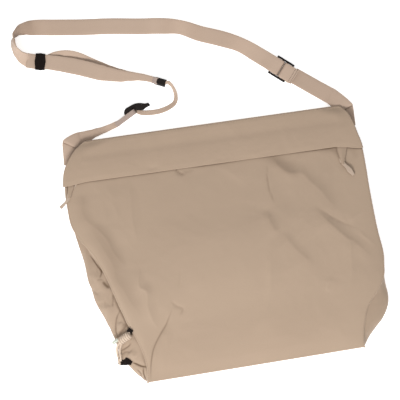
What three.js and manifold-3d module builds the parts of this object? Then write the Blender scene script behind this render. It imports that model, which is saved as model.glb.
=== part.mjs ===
// Cycling musette bag, lying on its back with its strap laid out beyond its top edge.
// Millimetres. X runs to the right along the top edge, Y towards the strap, Z up.
// The origin is the middle of the back cloth, on the surface that it lies on.
import * as THREE from 'three';
import { mergeVertices } from 'three/addons/utils/BufferGeometryUtils.js';
import Module from 'manifold-3d';

const wasm = await Module();
wasm.setup();

// Driving dimensions of the bag
const BAG_WIDTH = 380;
const BAG_HEIGHT = 300;
const SIDE_DEPTH = 27;
const DOME_RISE = 13;
const CLOTH = 1.2;
const GUSSET_CLOTH = 1;
const SEAM_GAP = 0.4;
const FOLD_RISE = 4;
const PLEAT_DEPTH = 4;
const FLAP_DROP = 50.5;
const FLAP_PLAY = 2;
const FLAP_REST = 2.2;
const MOUTH_SETBACK = 17;
const BACK_SETBACK = 24;
const MOUTH_HEIGHT = 9;

// Driving dimensions of the strap and its fittings
const WEB_WIDTH = 20;
const WEB_THICK = 1.3;
const TAPE_WIDTH = 6.5;
const TAPE_THICK = 1;
const PASS_GAP = 0.4;
const BAR_SIZE = 2.4;
const TRIGLIDE_LENGTH = 24;
const RAIL_WIDTH = 2.4;
const RAIL_HEIGHT = 3.4;
const KEEPER_LENGTH = 12.5;
const KEEPER_WALL = 1.2;
const FITTING_LENGTH = 15;
const FITTING_WIDTH = 12;
const FITTING_THICK = 2.6;
const HOOK_LENGTH = 34.5;
const HOOK_THICK = 3;
const HEM_TURN = 20;

// Driving dimensions of the small trim
const ZIP_WIDTH = 14;
const ZIP_THICK = 0.9;
const ZIP_SETBACK = 16;
const SLIDER_LENGTH = 9;
const SLIDER_WIDTH = 6;
const SLIDER_HEIGHT = 1;
const PULL_WIDTH = 4;
const PULL_THICK = 0.9;
const CORD_DIAMETER = 3.4;
const KNOT_DIAMETER = 7;
const KNOT_LENGTH = 16;
const KNOT_WRAPS = 6;
const TIP_DIAMETER = 3.2;
const TIP_LENGTH = 8;
const LASH_WIDTH = 9;
const LASH_UPPER_WIDTH = 7;
const LASH_THICK = 1;

// Outlines. up runs from the lower corner, 0, to the mouth, 1. Edges are shares of BAG_WIDTH.
const FRONT_EDGES = [
  { up: 0, left: -0.303, right: 0.417 },
  { up: 0.06, left: -0.299, right: 0.421 },
  { up: 0.12, left: -0.304, right: 0.432 },
  { up: 0.18, left: -0.317, right: 0.451 },
  { up: 0.25, left: -0.34, right: 0.494 },
  { up: 0.3, left: -0.352, right: 0.514 },
  { up: 0.34, left: -0.362, right: 0.519 },
  { up: 0.4, left: -0.377, right: 0.5225 },
  { up: 0.49, left: -0.4, right: 0.515 },
  { up: 0.57, left: -0.428, right: 0.511 },
  { up: 0.63, left: -0.458, right: 0.509 },
  { up: 0.7, left: -0.481, right: 0.507 },
  { up: 0.78, left: -0.487, right: 0.506 },
  { up: 0.87, left: -0.486, right: 0.502 },
  { up: 0.94, left: -0.474, right: 0.489 },
  { up: 1, left: -0.446, right: 0.476 },
];
// The widest line of each side, where the gusset turns back towards the floor.
const SIDE_EDGES = [
  { up: 0, left: -0.31, right: 0.42 },
  { up: 0.04, left: -0.335, right: 0.439 },
  { up: 0.075, left: -0.348, right: 0.462 },
  { up: 0.11, left: -0.364, right: 0.489 },
  { up: 0.17, left: -0.378, right: 0.514 },
  { up: 0.2, left: -0.388, right: 0.517 },
  { up: 0.27, left: -0.408, right: 0.5165 },
  { up: 0.34, left: -0.424, right: 0.516 },
  { up: 0.39, left: -0.438, right: 0.516 },
  { up: 0.45, left: -0.449, right: 0.514 },
  { up: 0.55, left: -0.457, right: 0.51 },
  { up: 0.65, left: -0.471, right: 0.505 },
  { up: 0.72, left: -0.478, right: 0.503 },
  { up: 0.8, left: -0.48, right: 0.501 },
  { up: 0.88, left: -0.478, right: 0.497 },
  { up: 0.94, left: -0.466, right: 0.484 },
  { up: 1, left: -0.44, right: 0.468 },
];
// Depth of the bag along its seams, as shares of SIDE_DEPTH, and the crown as a share of DOME_RISE.
const DEPTHS = [
  { up: 0, left: 0.86, right: 0.84, crown: 0.12 },
  { up: 0.06, left: 0.95, right: 0.9, crown: 0.45 },
  { up: 0.16, left: 1, right: 0.9, crown: 0.85 },
  { up: 0.28, left: 0.98, right: 0.74, crown: 1 },
  { up: 0.42, left: 0.88, right: 0.56, crown: 0.95 },
  { up: 0.57, left: 0.66, right: 0.46, crown: 0.75 },
  { up: 0.7, left: 0.48, right: 0.4, crown: 0.5 },
  { up: 0.86, left: 0.37, right: 0.35, crown: 0.22 },
  { up: 1, left: 0.33, right: 0.33, crown: 0 },
];
// How far each gusset folds inward (negative) where it is pressed flat, as shares of BAG_WIDTH.
const TUCKS = [
  { up: 0, left: 0, right: 0 },
  { up: 0.2, left: 0, right: 0 },
  { up: 0.3, left: 0, right: -0.004 },
  { up: 0.4, left: 0, right: -0.022 },
  { up: 0.52, left: -0.004, right: -0.034 },
  { up: 0.62, left: -0.02, right: -0.036 },
  { up: 0.72, left: -0.034, right: -0.036 },
  { up: 1, left: -0.036, right: -0.036 },
];
// Lower edge of the front and of the back, as shares of BAG_HEIGHT.
const FRONT_LOW = { left: -0.519, right: -0.498 };
const BACK_LOW = { left: -0.512, right: -0.491 };
const FOLD_LINE = 0.513;

// Folds of the front cloth: ends as shares of the bag, rise of FOLD_RISE, spread of BAG_WIDTH.
const FRONT_FOLDS = [
  { x0: -0.45, y0: 0.3, x1: -0.366, y1: 0.057, rise: 0.9, spread: 0.022 },
  { x0: -0.366, y0: 0.057, x1: -0.255, y1: -0.24, rise: 0.75, spread: 0.026 },
  { x0: -0.4, y0: 0.29, x1: -0.315, y1: 0.06, rise: -0.8, spread: 0.03 },
  { x0: -0.315, y0: 0.06, x1: -0.21, y1: -0.2, rise: -0.6, spread: 0.03 },
  { x0: -0.291, y0: -0.5, x1: -0.266, y1: -0.37, rise: -0.8, spread: 0.014 },
  { x0: -0.266, y0: -0.37, x1: -0.19, y1: -0.23, rise: -0.8, spread: 0.014 },
  { x0: -0.262, y0: -0.49, x1: -0.236, y1: -0.38, rise: 0.55, spread: 0.016 },
  { x0: -0.1, y0: 0.31, x1: -0.13, y1: -0.03, rise: -0.35, spread: 0.035 },
  { x0: 0.186, y0: 0.33, x1: 0.19, y1: 0.12, rise: -0.5, spread: 0.018 },
  { x0: 0.2, y0: 0.335, x1: 0.368, y1: 0.145, rise: 0.6, spread: 0.024 },
  { x0: 0.157, y0: 0.13, x1: 0.183, y1: 0.0, rise: 0.45, spread: 0.022 },
  { x0: 0.333, y0: 0.105, x1: 0.471, y1: -0.067, rise: 0.65, spread: 0.022 },
  { x0: 0.3, y0: 0.06, x1: 0.43, y1: -0.12, rise: -0.5, spread: 0.026 },
  { x0: 0.495, y0: -0.27, x1: 0.43, y1: -0.44, rise: 0.5, spread: 0.018 },
];
// Pleats across the gussets: height of each, depth as a share of PLEAT_DEPTH, and its spread.
const PLEATS = [
  { up: 0.43, depth: 0.7, spread: 0.03 },
  { up: 0.35, depth: -0.5, spread: 0.03 },
  { up: 0.27, depth: 0.8, spread: 0.035 },
  { up: 0.15, depth: 0.6, spread: 0.03 },
  { up: 0.07, depth: -0.6, spread: 0.03 },
];
// Ends of the flap from its lower edge, 0, to the fold, 1, as shares of BAG_WIDTH.
const FLAP_EDGES = [
  { up: 0, left: -0.491, right: 0.505 },
  { up: 0.15, left: -0.488, right: 0.501 },
  { up: 0.35, left: -0.481, right: 0.493 },
  { up: 0.55, left: -0.466, right: 0.486 },
  { up: 0.75, left: -0.443, right: 0.475 },
  { up: 0.9, left: -0.418, right: 0.458 },
  { up: 1, left: -0.4, right: 0.441 },
];

// Strap routes: places as shares of the bag, roll in degrees, width and thick as shares of the
// webbing's own, and shares of the height that a bar, the keeper or another strip gives it.
const MAIN_ROUTE = [
  { x: 0.25, y: 0.7225, roll: 0, width: 1, thick: 1, bar: 1, keeper: 0 },
  { x: 0.211, y: 0.7633, roll: 8, width: 1, thick: 1, bar: 0, keeper: 0 },
  { x: 0.151, y: 0.821, roll: 26, width: 1, thick: 1, bar: 0, keeper: 0 },
  { x: 0.089, y: 0.859, roll: 12, width: 1, thick: 1, bar: 0, keeper: 0 },
  { x: 0.026, y: 0.89, roll: 16, width: 1, thick: 1, bar: 0, keeper: 0 },
  { x: -0.037, y: 0.928, roll: 30, width: 1, thick: 1, bar: 0, keeper: 0 },
  { x: -0.101, y: 0.945, roll: 8, width: 1, thick: 1, bar: 0, keeper: 0 },
  { x: -0.166, y: 0.955, roll: 0, width: 1, thick: 1, bar: 0, keeper: 0 },
  { x: -0.264, y: 0.973, roll: 0, width: 1, thick: 1, bar: 0, keeper: 0 },
  { x: -0.362, y: 0.986, roll: 0, width: 1, thick: 1, bar: 0, keeper: 0 },
  { x: -0.447, y: 1, roll: 4, width: 1, thick: 1, bar: 0, keeper: 0 },
  { x: -0.513, y: 1.0107, roll: 18, width: 1, thick: 1, bar: 0, keeper: 0 },
  { x: -0.55, y: 1.01, roll: 38, width: 1, thick: 1, bar: 0, keeper: 0 },
  { x: -0.575, y: 0.9953, roll: 58, width: 1, thick: 1, bar: 0, keeper: 0 },
  { x: -0.5865, y: 0.968, roll: 66, width: 1, thick: 1, bar: 0, keeper: 0 },
  { x: -0.586, y: 0.9383, roll: 62, width: 1, thick: 1, bar: 0, keeper: 0 },
  { x: -0.5763, y: 0.9117, roll: 46, width: 1, thick: 1, bar: 0, keeper: 0 },
  { x: -0.5592, y: 0.8883, roll: 24, width: 1, thick: 1, bar: 0, keeper: 0 },
  { x: -0.5316, y: 0.8723, roll: 0, width: 1, thick: 1, bar: 0, keeper: 1 },
  { x: -0.5084, y: 0.8667, roll: 0, width: 1, thick: 1, bar: 0, keeper: 1 },
  { x: -0.4853, y: 0.861, roll: 0, width: 1, thick: 1, bar: 0, keeper: 1 },
  { x: -0.45, y: 0.868, roll: -14, width: 1, thick: 1, bar: 0, keeper: 0 },
  { x: -0.416, y: 0.867, roll: -22, width: 1, thick: 1, bar: 0, keeper: 0 },
  { x: -0.384, y: 0.851, roll: -18, width: 1, thick: 1, bar: 0, keeper: 0 },
  { x: -0.353, y: 0.826, roll: -10, width: 1, thick: 1, bar: 0, keeper: 0 },
  { x: -0.321, y: 0.801, roll: -4, width: 0.98, thick: 1, bar: 0, keeper: 0 },
  { x: -0.287, y: 0.777, roll: 0, width: 0.93, thick: 1.1, bar: 0, keeper: 0 },
  { x: -0.255, y: 0.76, roll: 0, width: 0.85, thick: 1.2, bar: 0, keeper: 0 },
  { x: -0.2224, y: 0.749, roll: 0, width: 0.7, thick: 1.35, bar: 0, keeper: 0 },
  { x: -0.1895, y: 0.7417, roll: 0, width: 0.55, thick: 1.5, bar: 0, keeper: 0 },
  { x: -0.162, y: 0.7317, roll: 0, width: 0.44, thick: 1.6, bar: 0, keeper: 0 },
];
const TAIL_ROUTE = [
  { x: -0.162, y: 0.7317, roll: 0, width: 0.44, thick: 1.6, rise: 1 },
  { x: -0.1895, y: 0.7417, roll: 0, width: 0.55, thick: 1.5, rise: 0.75 },
  { x: -0.2224, y: 0.7477, roll: 0, width: 0.7, thick: 1.35, rise: 0.52 },
  { x: -0.255, y: 0.7553, roll: 0, width: 0.85, thick: 1.2, rise: 0.44 },
  { x: -0.287, y: 0.765, roll: 0, width: 0.93, thick: 1.1, rise: 0.44 },
  { x: -0.318, y: 0.78, roll: 0, width: 1, thick: 1, rise: 0.75 },
  { x: -0.35, y: 0.796, roll: -2, width: 1, thick: 1, rise: 1 },
  { x: -0.3816, y: 0.8127, roll: -4, width: 1, thick: 1, rise: 1.05 },
  { x: -0.413, y: 0.828, roll: -4, width: 1, thick: 1, rise: 1.05 },
  { x: -0.4447, y: 0.8427, roll: -2, width: 1, thick: 1, rise: 0.9 },
  { x: -0.4853, y: 0.861, roll: 0, width: 1, thick: 1, rise: 0.72 },
  { x: -0.5084, y: 0.8667, roll: 0, width: 1, thick: 1, rise: 0.72 },
  { x: -0.5316, y: 0.8723, roll: 0, width: 1, thick: 1, rise: 0.72 },
  { x: -0.551, y: 0.88, roll: 0, width: 1, thick: 1, rise: 0.9 },
];
const RIGHT_ROUTE = [
  { x: 0.308, y: 0.6667, roll: 0 },
  { x: 0.331, y: 0.645, roll: 0 },
  { x: 0.361, y: 0.6155, roll: 0 },
  { x: 0.391, y: 0.5865, roll: 0 },
  { x: 0.4235, y: 0.5565, roll: 0 },
];
const LEFT_ROUTE = [
  { x: -0.281, y: 0.5673, roll: 0, width: 0.36, thick: 1.6, rise: 1 },
  { x: -0.303, y: 0.5597, roll: 0, width: 0.42, thick: 1.5, rise: 0.95 },
  { x: -0.333, y: 0.551, roll: 0, width: 0.52, thick: 1.35, rise: 0 },
  { x: -0.362, y: 0.544, roll: 0, width: 0.62, thick: 1.2, rise: 0 },
  { x: -0.39, y: 0.5385, roll: 0, width: 0.7, thick: 1.1, rise: 0 },
  { x: -0.416, y: 0.535, roll: 0, width: 0.8, thick: 1, rise: 0 },
];
const NARROW_ROUTE = [
  { x: -0.1, y: 0.7083, roll: 0, rise: 1 },
  { x: -0.0885, y: 0.6873, roll: -20, rise: 0.3 },
  { x: -0.0818, y: 0.654, roll: -38, rise: 0 },
  { x: -0.087, y: 0.6223, roll: -38, rise: 0 },
  { x: -0.1055, y: 0.6057, roll: -24, rise: 0 },
  { x: -0.14, y: 0.5937, roll: -8, rise: 0 },
  { x: -0.1734, y: 0.5927, roll: 0, rise: 0 },
  { x: -0.206, y: 0.5993, roll: 0, rise: 0 },
];

// Hook outline in shares of HOOK_LENGTH, its long axis along x, its mouth open below.
const HOOK_OUTLINE = [
  { x: -0.5, y: -0.1 },
  { x: -0.49, y: 0.05 },
  { x: -0.4, y: 0.155 },
  { x: -0.24, y: 0.185 },
  { x: -0.01, y: 0.2 },
  { x: 0.19, y: 0.145 },
  { x: 0.34, y: 0.06 },
  { x: 0.465, y: 0.04 },
  { x: 0.5, y: -0.085 },
  { x: 0.32, y: -0.1 },
  { x: 0.19, y: -0.14 },
  { x: 0.02, y: -0.075 },
];
const HOOK_MOUTH = { left: -0.165, right: -0.03, top: 0.11 };
const HOOK_TIP_LOW = { x: -0.3, y: -0.075 };
const HOOK_PLACE = { x: -0.2145, y: 0.6167, turn: 15.5 };

const radians = THREE.MathUtils.degToRad;
const lerp = THREE.MathUtils.lerp;
const across = (share) => share * BAG_WIDTH;
const upward = (share) => share * BAG_HEIGHT;
const UP = new THREE.Vector3(0, 0, 1);

// Value of one column of a table at a place along its up column, on a smooth cubic.
function column(rows, key, up) {
  let k = 0;
  while (k < rows.length - 2 && up > rows[k + 1].up) k += 1;
  const slope = (i) => {
    const a = rows[Math.max(i - 1, 0)];
    const b = rows[Math.min(i + 1, rows.length - 1)];
    return (b[key] - a[key]) / (b.up - a.up);
  };
  const [low, high] = [rows[k], rows[k + 1]];
  const span = high.up - low.up;
  const t = THREE.MathUtils.clamp((up - low.up) / span, 0, 1);
  const [t2, t3] = [t * t, t * t * t];
  return (2 * t3 - 3 * t2 + 1) * low[key] + (t3 - 2 * t2 + t) * span * slope(k)
    + (-2 * t3 + 3 * t2) * high[key] + (t3 - t2) * span * slope(k + 1);
}

// Value of one column of a route at t, with an even easing from row to row.
function eased(rows, key, t) {
  const place = t * (rows.length - 1);
  const k = Math.min(Math.floor(place), rows.length - 2);
  const ease = THREE.MathUtils.smoothstep(place - k, 0, 1);
  return lerp(rows[k][key] ?? 1, rows[k + 1][key] ?? 1, ease);
}

// Closed solid from its points and triangles.
function solid(points, faces) {
  const geometry = new THREE.BufferGeometry();
  geometry.setAttribute('position', new THREE.Float32BufferAttribute(points.flatMap((p) => p.toArray()), 3));
  geometry.setIndex(faces.flat());
  geometry.computeVertexNormals();
  return geometry;
}

// Cloth wall: a grid of points, grown by its thickness against the grid's own normals.
function wall(grid, thickness) {
  const [rows, cols] = [grid.length, grid[0].length];
  const outer = grid.flat();
  const inner = [];
  for (let i = 0; i < rows; i += 1) {
    for (let j = 0; j < cols; j += 1) {
      const along = grid[Math.min(i + 1, rows - 1)][j].clone().sub(grid[Math.max(i - 1, 0)][j]);
      const over = grid[i][Math.min(j + 1, cols - 1)].clone().sub(grid[i][Math.max(j - 1, 0)]);
      const normal = along.cross(over).normalize();
      inner.push(grid[i][j].clone().addScaledVector(normal, -thickness));
    }
  }
  const count = outer.length;
  const at = (i, j) => i * cols + j;
  const faces = [];
  const quad = (a, b, c, d) => faces.push([a, b, c], [a, c, d]);
  for (let i = 0; i < rows - 1; i += 1) {
    for (let j = 0; j < cols - 1; j += 1) {
      quad(at(i, j), at(i + 1, j), at(i + 1, j + 1), at(i, j + 1));
      quad(count + at(i, j), count + at(i, j + 1), count + at(i + 1, j + 1), count + at(i + 1, j));
    }
  }
  for (let i = 0; i < rows - 1; i += 1) {
    const end = cols - 1;
    quad(at(i, 0), count + at(i, 0), count + at(i + 1, 0), at(i + 1, 0));
    quad(at(i, end), at(i + 1, end), count + at(i + 1, end), count + at(i, end));
  }
  for (let j = 0; j < cols - 1; j += 1) {
    const end = rows - 1;
    quad(at(0, j), at(0, j + 1), count + at(0, j + 1), count + at(0, j));
    quad(at(end, j), count + at(end, j), count + at(end, j + 1), at(end, j + 1));
  }
  return solid([...outer, ...inner], faces);
}

// Grid of points from a function of two shares.
function gridOf(rows, cols, place) {
  return Array.from({ length: rows + 1 }, (_, i) => (
    Array.from({ length: cols + 1 }, (__, j) => place(i / rows, j / cols))));
}

// Strip lofted through stations, each with a place, a width direction, a width and a thickness.
function ribbon(stations) {
  const points = [];
  const faces = [];
  stations.forEach((station, k) => {
    const before = stations[Math.max(k - 1, 0)].place;
    const after = stations[Math.min(k + 1, stations.length - 1)].place;
    const tangent = after.clone().sub(before).normalize();
    const normal = tangent.cross(station.side).normalize();
    const half = station.side.clone().multiplyScalar(station.width / 2);
    const lift = normal.multiplyScalar(station.thick / 2);
    points.push(station.place.clone().sub(half).sub(lift), station.place.clone().add(half).sub(lift));
    points.push(station.place.clone().add(half).add(lift), station.place.clone().sub(half).add(lift));
  });
  for (let k = 0; k < stations.length - 1; k += 1) {
    for (let i = 0; i < 4; i += 1) {
      const [a, b] = [4 * k + i, 4 * k + ((i + 1) % 4)];
      faces.push([a, b, b + 4], [a, b + 4, a + 4]);
    }
  }
  const end = 4 * (stations.length - 1);
  faces.push([0, 2, 1], [0, 3, 2], [end, end + 1, end + 2], [end, end + 2, end + 3]);
  return solid(points, faces);
}

// Joins or cuts closed geometries.
function toManifold(geometry) {
  const bare = geometry.clone();
  bare.deleteAttribute('normal');
  bare.deleteAttribute('uv');
  const merged = mergeVertices(bare, 1e-5);
  return new wasm.Manifold(new wasm.Mesh({
    numProp: 3,
    vertProperties: new Float32Array(merged.attributes.position.array),
    triVerts: new Uint32Array(merged.index.array),
  }));
}

function join(geometries) {
  const whole = geometries.map(toManifold).reduce((sum, next) => sum.add(next));
  const mesh = whole.getMesh();
  const geometry = new THREE.BufferGeometry();
  geometry.setAttribute('position', new THREE.BufferAttribute(new Float32Array(mesh.vertProperties), 3));
  geometry.setIndex(new THREE.BufferAttribute(new Uint32Array(mesh.triVerts), 1));
  geometry.computeVertexNormals();
  return geometry;
}

// Main form of the bag
const mouthLine = upward(FOLD_LINE) - MOUTH_SETBACK;
const backLine = upward(FOLD_LINE) - BACK_SETBACK;

function foldRelief(x, y) {
  let relief = 0;
  for (const fold of FRONT_FOLDS) {
    const start = new THREE.Vector2(across(fold.x0), upward(fold.y0));
    const run = new THREE.Vector2(across(fold.x1), upward(fold.y1)).sub(start);
    const offset = new THREE.Vector2(x, y).sub(start);
    const along = THREE.MathUtils.clamp(offset.dot(run) / run.lengthSq(), 0, 1);
    const away = offset.addScaledVector(run, -along).length() / across(fold.spread);
    relief += fold.rise * Math.exp(-away * away);
  }
  return FOLD_RISE * relief;
}

function frontPoint(u, up) {
  const x = across(lerp(column(FRONT_EDGES, 'left', up), column(FRONT_EDGES, 'right', up), u));
  const y = lerp(upward(lerp(FRONT_LOW.left, FRONT_LOW.right, u)), mouthLine, up);
  const seam = SIDE_DEPTH * lerp(column(DEPTHS, 'left', up), column(DEPTHS, 'right', up), u);
  const arch = Math.sin(Math.PI * u) ** 0.6;
  const calm = Math.min(1, 8 * u, 8 * (1 - u), 10 * up, 6 * (1 - up));
  const crown = DOME_RISE * column(DEPTHS, 'crown', up) * arch;
  return new THREE.Vector3(x, y, seam + crown + calm * foldRelief(x, y));
}

// Height of the front cloth under a place, found by walking back from the place to its shares.
function frontHeight(x, y) {
  let [u, up] = [0.5, 0.5];
  for (let round = 0; round < 6; round += 1) {
    const low = upward(lerp(FRONT_LOW.left, FRONT_LOW.right, u));
    up = THREE.MathUtils.clamp((y - low) / (mouthLine - low), 0, 1);
    const left = across(column(FRONT_EDGES, 'left', up));
    const right = across(column(FRONT_EDGES, 'right', up));
    u = THREE.MathUtils.clamp((x - left) / (right - left), 0, 1);
  }
  return frontPoint(u, up).z;
}

function backPoint(side, up) {
  const inset = side === 'left' ? 5 * CLOTH : -5 * CLOTH;
  const x = across(column(SIDE_EDGES, side, up)) + inset;
  return new THREE.Vector3(x, lerp(upward(BACK_LOW[side]), backLine, up), 0);
}

function gussetPoint(side, w, up) {
  const inward = side === 'left' ? 1 : -1;
  const sideShare = side === 'left' ? 0 : 1;
  const seam = frontPoint(sideShare, up);
  const back = backPoint(side, up);
  const widest = across(column(SIDE_EDGES, side, up));
  const tuck = -inward * across(column(TUCKS, side, up));
  const floor = CLOTH + 2.8 * SEAM_GAP;
  const seamX = seam.x + inward * 1.5 * CLOTH;
  const tucked = Math.min(1, Math.abs(tuck) / (4 * CLOTH));
  const top = seam.z - CLOTH - lerp(1.8, 4.5, tucked) * SEAM_GAP;
  const points = [
    new THREE.Vector3(back.x + inward * CLOTH, back.y, floor),
    new THREE.Vector3(widest + inward * 0.6 * CLOTH, back.y, floor + 0.07 * top),
    new THREE.Vector3(widest + tuck * 0.9, lerp(back.y, seam.y, 0.3), lerp(0.42, 0.5, tucked) * top),
    new THREE.Vector3(lerp(widest, seamX, 0.45) + tuck * 0.9, lerp(back.y, seam.y, 0.6), lerp(0.78, 0.62, tucked) * top),
    new THREE.Vector3(seamX, seam.y, top),
  ];
  const place = new THREE.CatmullRomCurve3(points, false, 'centripetal').getPoint(w);
  let pleat = 0;
  for (const row of PLEATS) pleat += row.depth * Math.exp(-(((up - row.up) / row.spread) ** 2));
  const open = side === 'left' ? 1 - tucked : 0.5 * (1 - tucked);
  place.x += inward * open * PLEAT_DEPTH * 0.5 * pleat * Math.sin(Math.PI * w);
  place.z -= open * PLEAT_DEPTH * 0.5 * pleat * Math.sin(Math.PI * w) ** 2 * w;
  place.z = Math.max(place.z, CLOTH + 2.4 * SEAM_GAP);
  return place;
}

const LEFT_GUSSET_TOP = 0.93;
const RIGHT_GUSSET_TOP = 0.93;
const GUSSET_FOOT = 0.012;

const frontPanel = wall(gridOf(28, 22, frontPoint), CLOTH);
const gussetLeft = wall(gridOf(8, 26, (w, s) => (
  gussetPoint('left', w, lerp(GUSSET_FOOT, LEFT_GUSSET_TOP, s)))), GUSSET_CLOTH);
const gussetRight = wall(gridOf(22, 8, (s, w) => (
  gussetPoint('right', w, lerp(GUSSET_FOOT, RIGHT_GUSSET_TOP, s)))), GUSSET_CLOTH);

function rearPanelShape() {
  const shape = new THREE.Shape();
  const steps = 20;
  for (let k = 0; k <= steps; k += 1) {
    const p = backPoint('right', k / steps);
    if (k === 0) shape.moveTo(p.x, p.y);
    else shape.lineTo(p.x, p.y);
  }
  for (let k = steps; k >= 0; k -= 1) {
    const p = backPoint('left', k / steps);
    shape.lineTo(p.x, p.y);
  }
  shape.closePath();
  return shape;
}
const rearPanel = new THREE.ExtrudeGeometry(rearPanelShape(), { depth: CLOTH, bevelEnabled: false });

// The bottom cloth stands between the back and the front, a little inside the front's lower edge.
function bottomPoint(u, w) {
  const inner = lerp(0.016, 0.984, u);
  const seam = frontPoint(inner, 0);
  const backY = upward(lerp(BACK_LOW.left, BACK_LOW.right, u));
  const floor = CLOTH + SEAM_GAP;
  const top = seam.z - CLOTH - SEAM_GAP - 0.3;
  const points = [
    new THREE.Vector3(seam.x, backY + 2.5 * CLOTH, floor),
    new THREE.Vector3(seam.x, backY - 0.5 * CLOTH, floor + 0.1 * top),
    new THREE.Vector3(seam.x, seam.y + 0.9 * CLOTH, 0.55 * top),
    new THREE.Vector3(seam.x, seam.y + 1.7 * CLOTH, top),
  ];
  return new THREE.CatmullRomCurve3(points, false, 'centripetal').getPoint(w);
}
const bottomPanel = wall(gridOf(24, 5, bottomPoint), CLOTH);

// Near its ends the back of the flap lies on the strap ends that are sewn in under it.
function strapLift(u) {
  const near = Math.max(THREE.MathUtils.smoothstep(u, 0.9, 0.94), 1 - THREE.MathUtils.smoothstep(u, 0.045, 0.085));
  return near * (WEB_THICK + SEAM_GAP);
}

// The flap runs from its lower edge over the front, round the fold and a little down the back.
function flapPoint(u, s) {
  const foldY = upward(FOLD_LINE);
  const low = foldY - FLAP_DROP;
  const xAt = (share) => across(lerp(column(FLAP_EDGES, 'left', share), column(FLAP_EDGES, 'right', share), u));
  const over = (share) => {
    const y = lerp(low, foldY, share);
    const clear = CLOTH + FLAP_REST + FLAP_PLAY * Math.sin(Math.PI * Math.min(1, share * 1.4));
    return new THREE.Vector3(xAt(share), y, frontHeight(xAt(share), Math.min(y, mouthLine)) + clear);
  };
  const behind = 1 - (BACK_SETBACK - SEAM_GAP) / FLAP_DROP;
  const lift = strapLift(u);
  const points = [0, 0.16, 0.32, 0.48, 0.62].map(over);
  points.push(new THREE.Vector3(xAt(0.82), lerp(low, foldY, 0.84), MOUTH_HEIGHT + 1.6 * CLOTH));
  points.push(new THREE.Vector3(xAt(0.94), lerp(low, foldY, 0.95), MOUTH_HEIGHT));
  points.push(new THREE.Vector3(xAt(1), foldY, MOUTH_HEIGHT / 2));
  points.push(new THREE.Vector3(xAt(0.95), lerp(low, foldY, 0.955), lift + 0.4));
  points.push(new THREE.Vector3(xAt(0.86), lerp(low, foldY, 0.86), lift));
  points.push(new THREE.Vector3(xAt(0.72), lerp(low, foldY, 0.72), lift));
  points.push(new THREE.Vector3(xAt(behind), lerp(low, foldY, behind), lift));
  const place = new THREE.CatmullRomCurve3(points, false, 'centripetal').getPoint(s);
  place.z = Math.max(place.z, lift);
  return place;
}
const flap = wall(gridOf(22, 18, flapPoint), CLOTH);

// Zip under the flap: a strip on the front cloth with a slider near each end.
const zipLine = upward(FOLD_LINE) - FLAP_DROP + ZIP_SETBACK;
const ZIP_ENDS = { left: -0.43, right: 0.44 };
function onFront(x, y, lift) {
  return new THREE.Vector3(x, y, frontHeight(x, y) + lift);
}
const zipTape = wall(gridOf(24, 2, (u, w) => (
  onFront(across(lerp(ZIP_ENDS.left, ZIP_ENDS.right, u)), zipLine + (w - 0.5) * ZIP_WIDTH, SEAM_GAP + ZIP_THICK))), ZIP_THICK);

// Stations of a strip laid along a route, lifted off the floor by the heights given by column.
function laid(rows, count, width, thick, heights) {
  const curve = new THREE.CatmullRomCurve3(
    rows.map((row) => new THREE.Vector3(across(row.x), upward(row.y), 0)), false, 'centripetal');
  return Array.from({ length: count + 1 }, (_, k) => {
    const t = k / count;
    const heading = curve.getTangent(t);
    const right = heading.clone().cross(UP).normalize();
    const roll = radians(eased(rows, 'roll', t));
    const wide = width * eased(rows, 'width', t);
    const deep = thick * eased(rows, 'thick', t);
    const side = right.multiplyScalar(Math.cos(roll)).addScaledVector(UP, Math.sin(roll));
    const place = curve.getPoint(t);
    place.z = 0.5 * wide * Math.abs(Math.sin(roll)) + 0.5 * deep * Math.cos(roll);
    for (const [key, height] of Object.entries(heights)) place.z += height * eased(rows, key, t);
    return { place, side, width: wide, thick: deep, heading };
  });
}

// Stations of a strip that turns back round a bar: under it, round its far side and back over it.
function turned({ bar, heading, under, over, radius, width, thick }) {
  const side = heading.clone().cross(UP).normalize();
  const station = (along, z) => ({
    place: bar.clone().addScaledVector(heading, along).setZ(bar.z + z), side, width, thick, heading,
  });
  const steps = 8;
  const arc = Array.from({ length: steps + 1 }, (_, k) => {
    const angle = -Math.PI / 2 + (Math.PI * k) / steps;
    return station(radius * Math.cos(angle), radius * Math.sin(angle));
  });
  return [station(-under, -radius), ...arc, station(-over, radius)];
}

// Height of a strip over a bar, and of the bar itself, when the strip under it lies on the floor.
const clearOf = (barSize, thick) => barSize / 2 + PASS_GAP + thick / 2;

// Triglide on the line between the two straps
const webTurn = clearOf(BAR_SIZE, WEB_THICK);
const webBarHeight = WEB_THICK / 2 + webTurn;
const mainStart = laid(MAIN_ROUTE, 4, WEB_WIDTH, WEB_THICK, {})[0];
const triglideHeading = mainStart.heading.clone().negate();
const barOffset = webTurn + WEB_THICK / 2 + PASS_GAP / 2;
const triglideCentre = mainStart.place.clone().setZ(webBarHeight)
  .addScaledVector(triglideHeading, TRIGLIDE_LENGTH / 2);

function inPlace(geometry, centre, heading) {
  const matrix = new THREE.Matrix4().makeBasis(heading, UP.clone().cross(heading), UP);
  return geometry.applyMatrix4(matrix.setPosition(centre));
}

function makeTriglide() {
  const span = WEB_WIDTH + 2 * PASS_GAP;
  const pieces = [-1, 1].map((end) => (
    new THREE.BoxGeometry(TRIGLIDE_LENGTH, RAIL_WIDTH, RAIL_HEIGHT)
      .translate(0, end * (span + RAIL_WIDTH) / 2, 0)));
  const endBar = TRIGLIDE_LENGTH / 2 - BAR_SIZE / 2;
  for (const along of [-endBar, -barOffset, barOffset, endBar]) {
    pieces.push(new THREE.CylinderGeometry(BAR_SIZE / 2, BAR_SIZE / 2, span + RAIL_WIDTH, 10).translate(along, 0, 0));
  }
  return inPlace(join(pieces), triglideCentre, triglideHeading);
}

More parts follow.
